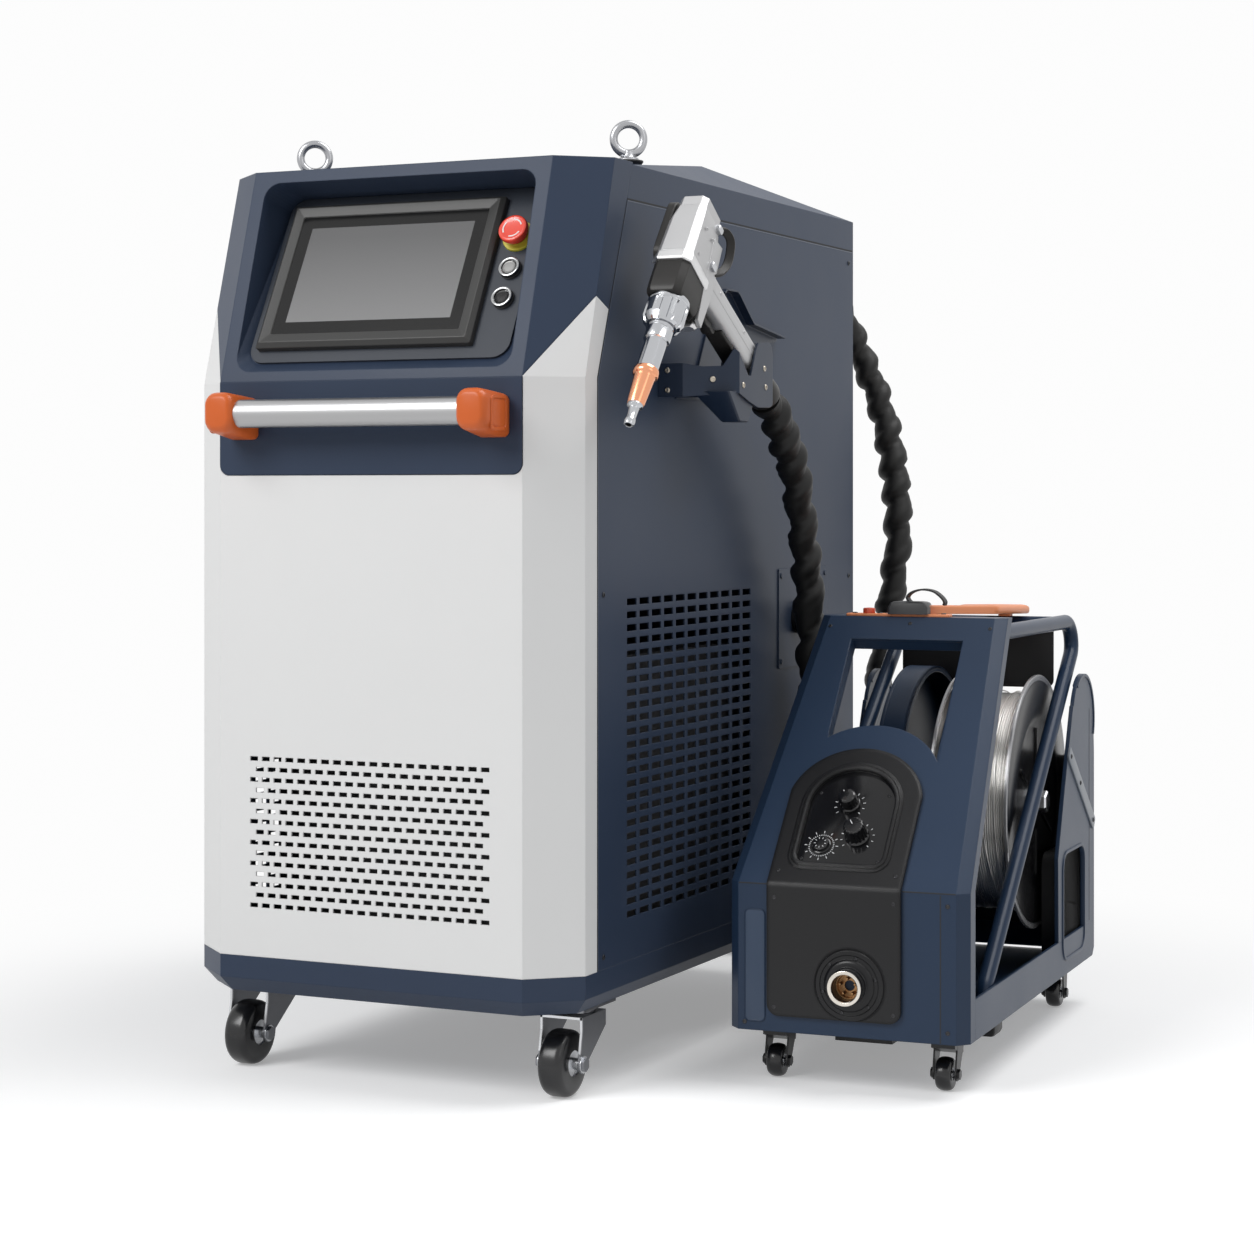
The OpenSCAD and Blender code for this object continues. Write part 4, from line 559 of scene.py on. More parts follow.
# Castors. Pressed and zinc-plated forks on plates screwed under the base tray,
# swivelling at the front and fixed at the rear; moulded black wheels on steel
# hubs, each on an axle with a nut on both ends.
castor_x, swivel_y, front_axle_y, rear_axle_y = 206, 113, 78, 800
wheel_r, wheel_w, hub_r, hub_reach, axle_bore_r = 37.5, 30, 14.5, 23.2, 5.1
castor_zinc = finish("castor_zinc", (0.20, 0.205, 0.22), 0.36, metal=1.0, cloud=0.14, spread=0.08,
    grain=0.2, edge=0.6)
castor_tyre = finish("castor_tyre", (0.009, 0.009, 0.010), 0.24, cloud=0.2, spread=0.06, grain=0.08, edge=0.4)
castor_hub = finish("castor_hub", (0.60, 0.61, 0.63), 0.26, metal=1.0, cloud=0.12, spread=0.06, edge=0.4)
paint_nodes(castor_zinc, "castor_plates", "front_fork_left", "front_fork_right", "rear_forks")


def hexagon(size, low, high):
    """A hexagon nut or bolt head, chamfered on top; size is its half width across corners."""
    rings = []
    for s, z in ((size, low), (size, high - 0.16 * size), (0.88 * size, high), (0.5 * size, high)):
        rings.append([(s * math.cos(math.pi * k / 3), s * math.sin(math.pi * k / 3), z) for k in range(6)])
    return skin(rings)


def wheel_on(place, r, w, hub, reach, bore, name, body, replaced, slot):
    """A moulded wheel with shouldered tread, a dished side, and a steel hub that reaches out to the fork."""
    half = w / 2
    ring = []
    for side in (-1, 1):
        line = [(bore, side * reach), (0.42 * hub, side * reach), (0.46 * hub, side * (half - 2.2)),
            (0.9 * hub, side * (half - 2.4)), (hub, side * (half - 1.8)), (hub, side * (half - 0.2)),
            (hub + 1.2, side * half), (0.80 * r, side * half), (0.86 * r, side * (half - 0.5)),
            (0.93 * r, side * (half - 2.2)), (0.97 * r, side * (half - 4.2)), (0.992 * r, side * (half - 6.6)),
            (r, side * (half - 8.6))]
        ring += line if side < 0 else line[::-1]
    marks = [1, 1, 1, 1, 1, 0, 0, 0, 0, 0, 0, 0, 0]
    made = Form()
    made.add(turned(ring, 64, hollow=True, marks=marks + marks[:12][::-1] + [1]), place @ turn("Y", 90))
    made = made.make(name, [castor_tyre, castor_hub], body, slot, 30.0)
    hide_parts(replaced)
    return made


for name, sx, y in (("front_wheel_left", -1, front_axle_y), ("front_wheel_right", 1, front_axle_y),
        ("rear_wheel_left", -1, rear_axle_y), ("rear_wheel_right", 1, rear_axle_y)):
    wheel_on(cabinet @ move(sx * castor_x, y, wheel_r), wheel_r, wheel_w, hub_r, hub_reach, axle_bore_r,
        name + "_moulded", name, name, "black_rubber")
cheek_x, cheek_out, crown_back = 24.75, 26, 37.6
cheek_edge = [(-crown_back, 89.6), (-crown_back, 73), (-42.6, 50)]
pressed_lip = ((-1.3, -0.5), (1.3, -0.5), (1.3, 1.6), (-1.3, 1.6))
for side, sx in (("left", -1), ("right", 1)):
    rivets = Form()
    rivets.add(hexagon(7.5, 0, 6), cabinet @ move(sx * castor_x, swivel_y, 86.4) @ turn("X", 180))
    for s in (-1, 1):
        rivets.add(turned([(4.6, 0), (9.6, 0), (9.6, 1.1), (4.6, 1.1)], 32, hollow=True),
            cabinet @ move(sx * castor_x + s * cheek_out, front_axle_y, wheel_r) @ turn("Y", 90 * s))
        cheek = cabinet @ move(sx * castor_x + s * cheek_x, swivel_y, 0)
        for ends in zip(cheek_edge[:-1], cheek_edge[1:]):
            rivets.add(skin([[(x, y + dy, z) for x, dy in pressed_lip] for y, z in ends]), cheek)
    rivets.add(skin([level([(26.05, 1.6), (-26.05, 1.6), (-26.05, -0.5), (26.05, -0.5)], z) for z in (86.9, 89.9)]),
        cabinet @ move(sx * castor_x, swivel_y - crown_back, 0))
    rivets.make("front_fork_rivet_" + side, [castor_hub], "front_castor_" + side, "bright_steel", 25.0)

# Torch. A satin aluminium body that widens to a bright band, a moulded black
# nose and side cover, a chromed collet nut and barrel, a copper nozzle with a
# steel tip, a two-shell grip and a rubber guard loop behind it.
torch_x, tail_y, tail_z, torch_turn = 310, 208, 1001, 145
grip_y, grip_z, grip_turn = -18, 72, 94.4
side_lean, tip_z = 0.028, 310
body_shift, body_share, tip_back = 7, 0.90, 10
torch = cabinet @ move(torch_x, tail_y, tail_z) @ turn("X", torch_turn)
grip = torch @ move(0, grip_y, grip_z) @ turn("X", grip_turn)
lean = Matrix(((1, 0, -side_lean, side_lean * tip_z), (0, 1, 0, 0), (0, 0, 1, 0), (0, 0, 0, 1)))
torch_satin = finish("torch_satin", (0.50, 0.50, 0.505), 0.40, metal=0.75, cloud=0.04, spread=0.06,
    grain=0.15, edge=1.6)
torch_bright = finish("torch_bright", (0.70, 0.70, 0.705), 0.28, metal=0.9, cloud=0.03, edge=1.0)
torch_black = finish("torch_black", (0.017, 0.016, 0.015), 0.40, cloud=0.08, grain=0.3, size=0.7,
    edge=1.6, specular=0.3)
chrome = finish("chrome", (0.50, 0.51, 0.53), 0.14, metal=1.0, cloud=0.05, edge=0.5)
copper = finish("copper", (0.83, 0.37, 0.21), 0.16, metal=1.0, cloud=0.12, spread=0.05, edge=0.5)
# Near-black for the tip's bore: painted shade inside the hole.
bore_painted_shade = finish("bore_painted_shade", (0.003, 0.003, 0.003), 0.7, edge=0.2)


def chamfered(half, up, down, c):
    """Outline of a block with cut corners, from -down to up."""
    return [(half - c, up), (-half + c, up), (-half, up - c), (-half, -down + c), (-half + c, -down),
        (half - c, -down), (half, -down + c), (half, up - c)]


def slab(outline, low, high):
    """A flat plate in the Y-Z plane, from its outline and its two X places."""
    return skin([[(x, y, z) for y, z in outline] for x in (low, high)])


def plate(line, low, high, edge, steps=3, mark=0):
    """A plate from an outline, with a rounded upper edge."""
    rings = [level(line, low)]
    for k in range(steps + 1):
        a = math.radians(90.0 * k / steps)
        rings.append(level(shrunk(line, edge * (1.0 - math.cos(a))), high - edge + edge * math.sin(a)))
    return skin(rings, marks=[mark] * (len(rings) - 1), ends=(mark, mark))


def screw(r, h):
    """A round screw head with a hexagon socket."""
    rings = []
    for size, z in ((r, 0.0), (r, 0.5 * h), (0.86 * r, 0.88 * h), (0.62 * r, h), (0.5 * r, h), (0.44 * r, 0.35 * h)):
        rings.append([(size * math.cos(math.pi * k / 9), size * math.sin(math.pi * k / 9), z) for k in range(18)])
    return skin(rings)


housing = torch @ lean @ move(0, 0, body_shift) @ Matrix.Diagonal((1.0, 1.0, body_share, 1.0))
body = Form()
body.add(skin([level(chamfered(23 * k, 30 * h, 36 * h, 8 * k), z) for k, h, z in ((0.70, 0.70, -5), (0.76, 0.76, -3),
    (0.77, 0.78, 11), (0.80, 0.82, 13), (0.92, 0.95, 34), (0.99, 0.99, 90))]), housing)
body.add(skin([level(chamfered(23 * k, 30 * h, 36 * h, 8 * k), z) for k, h, z in ((0.98, 0.98, 89), (1.03, 1.03, 92.5),
    (1.05, 1.04, 102.5), (1.0, 1.0, 104.5))], marks=[1, 1, 1], ends=(1, 1)), housing)
body.add(skin([level(chamfered(half, -up, down, 3), z) for half, up, down, z in ((8, 26, 37, 18), (13, 28, 47, 60),
    (14, 32, 48, 104), (14, 34, 46, 136))]), housing)
body.add(skin([level(chamfered(half, -up, down, 3), z) for half, up, down, z in ((16, 36, 46, 132), (18, 36, 47.5, 136),
    (18, 36, 47.5, 151), (16, 37, 46, 154))], marks=[1, 1, 1], ends=(1, 1)), housing)
for s in (-1, 1):
    body.add(slab([(-14, 34), (-24, 104), (-33, 147), (-45, 150), (-46, 100), (-36, 30)], s * 18.5, s * 22.8), housing)
for y, z in ((10, 40), (-10, 40), (10, 80)):
    body.add(screw(2.2, 0.8), housing @ move(22.6, y, z) @ turn("Y", 90))
body = body.make("torch_housing", [torch_satin, torch_bright], "torch", "torch_aluminium", 20.0)
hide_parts("torch_body")
nose = Form()
nose.add(skin([level(chamfered(22 * k, 27 * k, 35 * k, 7), z) for k, z in ((0.95, 103), (1.0, 104.5), (1.0, 126),
    (0.985, 143), (0.95, 148), (0.91, 150), (0.80, 150), (0.78, 147.5))]), housing)
nose.add(plate(rounded(94, 46, 15), 0, 10, 3), housing @ move(-31.5, -4, 40) @ turn("Y", 90))
nose.add(plate(rounded(60, 22, 8), 0, 3, 1.2), housing @ move(-33.8, -4, 34) @ turn("Y", 90))
loop_thin, loop_wide = 1.9, 5.2
guard = spline_through([(17, -26, 9), (21, -35, 4), (24, -46, 8), (25, -52, 24), (25, -53, 42), (23, -48, 58),
    (19, -38, 70)], 3.0)
nose.add(skin(rings_along(guard, 16, lambda run, a: loop_thin / abs(math.cos(a)) if abs(math.cos(a)) > 0.35
    else loop_wide)), housing)
nose = nose.make("torch_nose_block", [torch_black], "torch", "black_plastic", 30.0)
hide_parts("torch_nose")
head_end = torch @ lean @ move(0, 0, -tip_back)
nut_grooves, groove_deep = 8, 2.3
flat_r = 14.1


def grooved(a, r, z):
    """Radius of the collet nut, with grooves between its ribs."""
    in_groove = 158 < z < 184 and r > 20 and math.cos(nut_grooves * a) > 0.45
    return r - groove_deep if in_groove else r


def flatted(a, r, z):
    """Radius of the barrel, with four spanner flats on its collar."""
    across = math.cos(a % (math.pi / 2) - math.pi / 4)
    return min(r, flat_r / across) if 190.5 < z < 204.5 else r


barrel = Form()
barrel.add(turned([(12, 149), (23.4, 149.5), (23.8, 150.5), (23.8, 155), (22.6, 156), (22.6, 157.5), (24, 158.5),
    (24, 177), (21, 183.5), (17.5, 186), (15.2, 186.2), (15.2, 181)], 96, wave=grooved), head_end)
barrel.add(turned([(14.6, 180), (14.9, 181), (14.9, 187), (13.4, 189), (13.4, 190), (15.2, 191), (15.2, 204),
    (14.6, 205.5), (12.6, 206.5), (12.5, 247)], 64, wave=flatted), head_end)
for x, y, z in ((21.5, -27, 68), (17.5, -22, 12)):
    barrel.add(skin([level(rounded(9, 12, 2), 0), level(rounded(9, 12, 2), 4), level(rounded(7, 10, 2), 5)]),
        housing @ move(x, y, z) @ turn("Y", 90))
barrel = barrel.make("torch_nut_and_barrel", [chrome], "torch", "bright_steel", 24.0)
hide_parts("torch_barrel")
nozzle = Form()
nozzle.add(turned([(11, 245), (14.0, 245.6), (14.5, 246.4), (14.5, 252.5), (13.8, 253.6), (12.2, 255), (12.0, 256.5),
    (11.7, 258), (9.9, 290), (9.2, 292.5), (6, 293)], 64), head_end)
# The bore wall and its floor take the painted shade.
nozzle.add(turned([(5, 291), (8.6, 292), (8.9, 293), (8.9, 295.4), (7.6, 296.6), (5.9, 297.4), (5.6, 299),
    (5.5, 311), (6.0, 312), (6.3, 316), (5.6, 319.4), (4.6, 320), (3.3, 319.8), (3.1, 306)], 40,
    marks=[1] * 12 + [2], ends=(1, 2)), head_end)
nozzle = nozzle.make("torch_nozzle_and_tip", [copper, chrome, bore_painted_shade], "torch", "copper")
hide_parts("torch_nozzle")
shells = Form()
shells.add(skin([level(rounded(w, 2 * d, r, y=y), z) for w, d, r, y, z in ((30, 22, 7, 2, 12),
    (33, 23.5, 8, 2, 24), (34, 21, 9, 1, 60), (34, 19, 9, 0, 100), (34, 19, 9, 0, 189))]), grip)
shells.add(skin([level(rounded(w, w, r), z) for w, r, z in ((33, 10, 188), (33, 10, 190.2), (36, 11, 190.6),
    (36, 11, 204), (35, 13, 212), (33, 15, 221), (31, 15, 224.6))], marks=[0, 1, 1, 1, 1, 1], ends=(0, 1)), grip)
for s in (-1, 1):
    shells.add(skin([level(rounded(1.2, 7, 0.5, x=s * 16.9, y=-2), z) for z in (44, 186)]), grip)
    for y, z in ((-8, 70), (-8, 150), (8, 196)):
        shells.add(screw(2.6, 0.9), grip @ move(s * 16.8, y, z) @ turn("Y", 90 * s))
shells = shells.make("torch_grip_shells", [torch_satin, torch_bright], "torch", "torch_aluminium", 24.0)
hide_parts("torch_grip")
boot = Form()
boot.add(skin([level(rounded(23, 6, 2.6, y=y), z) for y, z in ((18.4, 104), (19.4, 108), (19.4, 182),
    (18.4, 186))]), grip)
boot.add(turned([(14, 222), (15.6, 223.4), (16.2, 226), (16.6, 240), (15.4, 241), (15.4, 243), (17.2, 244.5),
    (18.8, 252), (20.2, 262), (20.6, 273), (20.0, 276.6), (18.0, 277.8)], 48), grip)
boot = boot.make("torch_sleeve_boot", [torch_black], "torch", "black_rubber")
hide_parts("torch_sleeve")
lever = Form()
lever_mid = 18
outline = [(0, 0), (3.5, -0.5), (6.6, 4), (8, 10), (7.0, 16), (5.8, 21), (7.2, 27), (6.8, 31), (3, 35.5), (0, 36)]
lever.add(skin([[(x, y * k, lever_mid + (z - lever_mid) * k) for y, z in outline]
    for x, k in ((-6.5, 0.9), (-5.6, 1), (5.6, 1), (6.5, 0.9))]), grip @ move(0, 25, 62))
lever.add(turned([(3, 0), (3, 12)], 24), grip @ move(0, 26, 80) @ turn("X", 90))
lever = lever.make("torch_trigger_lever", [torch_black], "trigger", "black_plastic", 30.0)
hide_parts("torch_trigger")

# Strain relief and lock. A tapered rubber boot round the umbilical at the rear, and
# a quarter-turn lock with a slotted black cap in the access plate.
boot_rubber = finish("boot_rubber", (0.014, 0.014, 0.015), 0.55, cloud=0.12, grain=0.4, edge=1.0, specular=0.3)
lock_black = finish("lock_black", (0.008, 0.008, 0.009), 0.22, cloud=0.1, specular=0.4, edge=0.8)
paint_nodes(boot_rubber, "umbilical_gland")
paint_nodes(lock_black, "access_lock")

# Seams and screws of the cabinet. Black strips in the joints between the lid, the
# surround and the side panels are painted shade of the gaps there. Each has a
# lighter navy strip beside it, a painted highlight on the panel's edge. The black
# screws hold the side panels, the access plate and the rear panel.
# Near-black painted shade for the joints, and a lighter navy painted highlight for the edges beside them.
joint_painted_shade = finish("joint_painted_shade", (0.003, 0.003, 0.004), 0.7, cloud=0.1, edge=0.1)
edge_painted_highlight = finish("edge_painted_highlight", (0.060, 0.082, 0.125), 0.34, cloud=0.07, grain=0.3, edge=0.4)
panel_screw = finish("panel_screw", (0.045, 0.047, 0.052), 0.34, metal=1.0, cloud=0.2, edge=0.3)


def seam(points, half, out, low=-1.0):
    """A strip along a line of (y, z) points on a side, of one width, that stands out by a hair."""
    rings = []
    for i, (y, z) in enumerate(points):
        before, after = points[max(i - 1, 0)], points[min(i + 1, len(points) - 1)]
        d = Vector((after[0] - before[0], after[1] - before[1])).normalized()
        n = Vector((-d.y, d.x)) * half
        rings.append([(low, y - n.x, z - n.y), (low, y + n.x, z + n.y), (out, y + n.x, z + n.y),
            (out, y - n.x, z - n.y)])
    return skin(rings)


seams = Form()
for s in (-1, 1):
    face = cabinet @ move(s * cab_half, 0, 0) @ Matrix.Diagonal((s, 1, 1, 1))
    seams.add(seam([(77, 143), (77, 801), (155, 1007.5), (887, 1007.5)], 0.9, 0.18), face, 0)
    seams.add(seam([(78.8, 143), (78.8, 800.6), (156.4, 1005.6), (887, 1005.6)], 0.5, 0.22), face, 1)
    for y, z in ((92, 156), (872, 156), (872, 560), (872, 990), (92, 560)):
        seams.add(screw(3.2, 1.3), face @ move(0, y, z) @ turn("Y", 90), 2)
rear_panel_y = 890
for x in (-236, 236):
    for z in (160, 420, 700, 940):
        seams.add(screw(3.2, 1.3), cabinet @ move(x, rear_panel_y, z) @ turn("X", -90), 2)
seams.make("panel_seams_and_screws", [joint_painted_shade, edge_painted_highlight, panel_screw], "cabinet", "navy_paint", 25.0)

# Holster. Sheet steel folded into a strap with two upright ears round the grip's
# end, a tapered cup under it and a back plate with a lip, powder-coated and
# screwed to the side panel.
holster_navy = finish("holster_navy", (0.012, 0.022, 0.045), 0.36, cloud=0.08, spread=0.05, grain=0.3,
    edge=1.4, specular=0.3)
screw_zinc = finish("screw_zinc", (0.42, 0.38, 0.32), 0.3, metal=1.0, cloud=0.2, edge=0.3)


def folded(points, t):
    """Sheet folded along a plan line of (x, y, low, high) points, with its thickness to the left."""
    rings = []
    for i, (x, y, low, high) in enumerate(points):
        before, after = points[max(i - 1, 0)], points[min(i + 1, len(points) - 1)]
        one = Vector((x - before[0], y - before[1])).normalized()
        two = Vector((after[0] - x, after[1] - y)).normalized()
        one, two = (one if i else two), (two if i < len(points) - 1 else one)
        n = Vector((-one.y - two.y, one.x + two.x))
        n *= t / max(0.3, n.dot(Vector((-one.y, one.x))))
        rings.append([(x, y, low), (x, y, high), (x + n.x, y + n.y, high), (x + n.x, y + n.y, low)])
    return skin(rings)


holster = Form()
fold_t = 2.6
plate_in, plate_out, lip_out, lip_t = 250.1, 252.6, 264, 2.2
holster.add(folded([(250.2, 238, 785, 824), (281, 240, 785, 824), (297, 261, 787, 821), (316, 277, 789, 822),
    (327, 285, 790, 843), (331, 291, 790, 838), (331, 318, 782, 812), (331, 326, 780, 812), (331, 344, 776, 846),
    (331, 351, 775, 852), (331, 384, 776, 854), (331, 391, 778, 849), (331, 394, 780, 838)], fold_t), cabinet)
holster.add(folded([(289, 400, 790, 826), (289, 394, 782, 850), (289, 388, 780, 858), (289, 352, 780, 858),
    (289, 344, 782, 850), (289, 334, 786, 826)], fold_t), cabinet)
holster.add(skin([level(rounded(w, d, 5, 2, x=mx, y=my), z) for w, d, mx, my, z in ((22, 30, 314, 316, 757),
    (25, 34, 314, 316, 758.5), (47, 92, 305, 308, 792), (42, 88, 305, 308, 792), (20, 30, 314, 316, 762))]), cabinet)
back = [(286, 785), (400, 785), (452, 862), (560, 862), (600, 868), (604, 874), (500, 886), (455, 919), (447, 923),
    (414, 923), (406, 918), (352, 826), (286, 824)]
holster.add(slab(back, plate_in, plate_out), cabinet)
for (y0, z0), (y1, z1) in zip(back[5:10], back[6:11]):
    d = math.hypot(y1 - y0, z1 - z0)
    oy, oz = (z1 - z0) / d * lip_t, -(y1 - y0) / d * lip_t
    holster.add(slab([(y0, z0), (y1, z1), (y1 - oy, z1 - oz), (y0 - oy, z0 - oz)], plate_in, lip_out), cabinet)
holster.add(slab([(334, 788), (346, 788), (346, 822), (334, 822)], 252, 291), cabinet)
for x, y, z in ((262, 239.2, 793), (262, 239.2, 816)):
    holster.add(screw(3.4, 2), cabinet @ move(x, y, z) @ turn("X", 90), 1)
holster.add(screw(3.6, 1.4), cabinet @ move(306.5, 268.5, 806) @ turn("Z", 40) @ turn("X", 90), 1)
for y, z in ((303, 800), (368, 822), (372, 800)):
    holster.add(screw(3.6, 1.4), cabinet @ move(330.8, y, z) @ turn("Y", 90), 1)
holster = holster.make("holster_folded", [holster_navy, screw_zinc], "cabinet", "navy_paint", 22.0)
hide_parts("holster")

# Feeder shell. Folded and welded sheet under navy powder coat: a base tray with
# an upright front, a leaning face with a window, and a seam at the bend. Screws
# hold the lower panel; the long strip at its left is a blank inlay.
feeder_x, feeder_y, feeder_turn = 487.5, 225, 3.0
bend_z, front_rise = 230, 47.66
inlay_x, inlay_z = -107.5, 137
feeder = cabinet @ move(feeder_x, feeder_y, 0) @ turn("Z", feeder_turn)
leaning = feeder @ move(0, 0, bend_z) @ turn("X", front_rise)
upright = feeder @ turn("X", 90)
feeder_navy = finish("feeder_navy", (0.014, 0.030, 0.063), 0.36, cloud=0.07, spread=0.05, grain=0.35,
    edge=2.0, specular=0.28)
seam_dark = finish("seam_dark", (0.004, 0.005, 0.007), 0.6, cloud=0.1, edge=0.2)
inlay_blue = finish("inlay_blue", (0.020, 0.042, 0.085), 0.3, cloud=0.05, grain=0.1, edge=0.4)
screw_dark = finish("screw_dark", (0.05, 0.05, 0.053), 0.3, metal=1.0, cloud=0.2, edge=0.3)
paint_nodes(feeder_navy, "feeder_base", "feeder_front", "spool_guard", "feeder_side_plate")


def strip(x0, x1, y0, y1, low, high):
    """A thin flat strip between two heights."""
    return skin([level([(x1, y1), (x0, y1), (x0, y0), (x1, y0)], z) for z in (low, high)])


trim = Form()
trim.add(strip(109, 110.4, 64, 228, -1.0, 0.15), upright, 0)
trim.add(strip(66, 127, 229.2, 230.6, -1.0, 0.2), upright, 0)
trim.add(strip(-127, -93, 229.2, 230.6, -1.0, 0.2), upright, 0)
inlay_at = upright @ move(inlay_x, inlay_z, 0)
trim.add(plate(rounded(23, 126, 5), -0.6, 0.5, 0.3), inlay_at, 1)
trim.add(frame_plate(rounded(25, 128, 6), rounded(22, 125, 4.6), -0.6, 0.9, 0.3), inlay_at, 3)
for x, y in ((118, 76), (118, 216), (-120, 72)):
    trim.add(screw(2.6, 1.0), upright @ move(x, y, 0), 2)
for x, y in ((-100, 380), (100, 380), (0, 386)):
    trim.add(screw(2.4, 0.8), leaning @ move(x, y, 0), 2)
for x0, x1, y0, y1 in ((-71.6, -69.1, 217, 363.5), (-69.1, 70, 361.1, 363.5), (70.1, 72.6, 172, 363.5)):
    trim.add(strip(x0, x1, y0, y1, -20, -1.5), leaning, 3)
trim.make("feeder_seams_and_screws", [seam_dark, inlay_blue, screw_dark, feeder_navy], "feeder", "feeder_paint", 25.0)

# Feeder pod. A moulded black panel that bends with the front: an arched upper
# half with a bevelled rim round a glossy dial plate, and a flat lower half; small
# screws hold both.
pod_t, dial_up = 5, 1.6
pod_black = finish("pod_black", (0.009, 0.009, 0.010), 0.30, cloud=0.08, spread=0.05, grain=0.3, size=0.7,
    edge=7.0, specular=0.3)
dial_gloss = finish("dial_gloss", (0.006, 0.006, 0.007), 0.12, cloud=0.1, specular=0.35, edge=0.5)
tick_white = finish("tick_white", (0.62, 0.63, 0.64), 0.5, cloud=0.03, edge=0.1)
paint_nodes(pod_black, "feeder_pod")


def arched(left, right, low, high, r, steps=24):
    """Outline with a round arch on top and rounded lower corners."""
    half, mid = (right - left) / 2, (left + right) / 2
    line = [(mid + half * math.cos(math.pi * k / steps), high - half + half * math.sin(math.pi * k / steps))
        for k in range(steps + 1)]
    for x, s, start in ((left, 1, 180), (right, -1, 270)):
        for k in range(5):
            a = math.radians(start + 90 * k / 4)
            line.append((x + s * r + r * math.cos(a), low + r + r * math.sin(a)))
    return line


pod = Form()
pod.add(frame_plate(arched(-71, 41, 24, 166, 16), arched(-66, 36, 29, 161, 12), 1.5, 7.6, 1.6), leaning, 0)
pod.add(frame_plate(arched(-76, 46, 19, 171, 20), arched(-71.5, 41.5, 23.5, 166.5, 16), 4.0, 6.3, 0.9), leaning, 0)
pod.add(plate(arched(-66.5, 36.5, 28.5, 161.5, 12), 0.9, 1.6, 0.3), leaning, 1)
for x, y in ((-60, 36), (30, 36), (-56, 128), (26, 128)):
    pod.add(screw(2.0, 0.8), leaning @ move(x, y, dial_up), 2)
for x, y in ((-83, 92), (57, 92), (-83, 216), (57, 216)):
    pod.add(screw(2.4, 0.8), upright @ move(x, y, pod_t), 2)
for x, y in ((-82, 16), (56, 16)):
    pod.add(screw(2.4, 0.8), leaning @ move(x, y, pod_t), 2)
pod.make("pod_dial_plate", [pod_black, dial_gloss, screw_dark], "feeder", "black_plastic", 28.0)

# Dial marks. Printed ticks round the three knobs, and a round scale plate under
# the lowest one; the words of such a panel are left off.
speed_at, delay_at, mode_at = (-18, 113), (0, 69), (-40, 55)
tick_half, tick_low, tick_high = 0.45, 1.5, 1.72
ticks = Form()
for (x, y), r0, r1, count, start, sweep in ((speed_at, 15.5, 18.5, 11, -40, 260), (delay_at, 17.5, 20.0, 11, -40, 260),
        (mode_at, 13.6, 15.2, 36, 0, 350), (mode_at, 17.0, 20.0, 12, 0, 330)):
    for i in range(count):
        dial = leaning @ move(x, y, 0) @ turn("Z", start + sweep * i / (count - 1))
        ticks.add(strip(r0, r1, -tick_half, tick_half, tick_low, tick_high), dial, 0)
ticks.make("dial_ticks", [tick_white], "feeder", "black_gloss")

# Feeder knobs. A tall moulded speed knob with a domed top, a fluted delay knob
# beside it, and a low mode dial with a scale ring; each is pushed on a shaft.
knob_gloss = finish("knob_gloss", (0.006, 0.006, 0.007), 0.14, cloud=0.15, specular=0.5, edge=0.4)


def fluted(count, deep):
    """Radius of a knob whose grip has flutes above its skirt."""
    return lambda a, r, z: r - deep if r > 9 and z > 4.5 and math.cos(count * a) > 0.2 else r


for name, (x, y), flutes, profile in (
        ("speed_knob", speed_at, None, [(3, -0.6), (12.3, 0), (12.4, 3.6), (11.2, 4.4), (10.8, 5), (10.4, 15.5),
            (9.8, 18.2), (8.0, 19.6), (4, 20.2)]),
        ("delay_knob", delay_at, fluted(16, 0.7), [(3, -0.6), (14.3, 0), (14.4, 3.2), (13.4, 4.4), (12.9, 5.4),
            (12.3, 20.5), (11.6, 22.8), (10.0, 23.8), (4, 24)]),
        ("mode_knob", mode_at, fluted(24, 0.35), [(3, -0.6), (11.3, 0), (11.3, 1.2), (10.0, 1.8), (9.7, 4.6),
            (9.0, 5.7), (7.6, 6.0), (2, 6.0)])):
    at = leaning @ move(x, y, dial_up)
    knob = Form()
    knob.add(turned(profile, 96, wave=flutes), at, 0)
    top = profile[-2][1]
    if name == "mode_knob":
        for i in range(9):
            knob.add(skin([level(rounded(0.7, 2.2, 0.3, 2), z) for z in (top + 0.05, top + 0.35)]),
                at @ turn("Z", 20 + 40 * i) @ move(0, 6.2, 0), 1)
    else:
        knob.add(skin([level(rounded(0.9, 6.5, 0.4, 2), z) for z in (top - 0.9, top + 0.25)]),
            at @ turn("Z", 35) @ move(0, 5.0, 0), 1)
    knob = knob.make(name + "_moulded", [knob_gloss, tick_white], name, "black_gloss", 26.0)
    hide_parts(name)

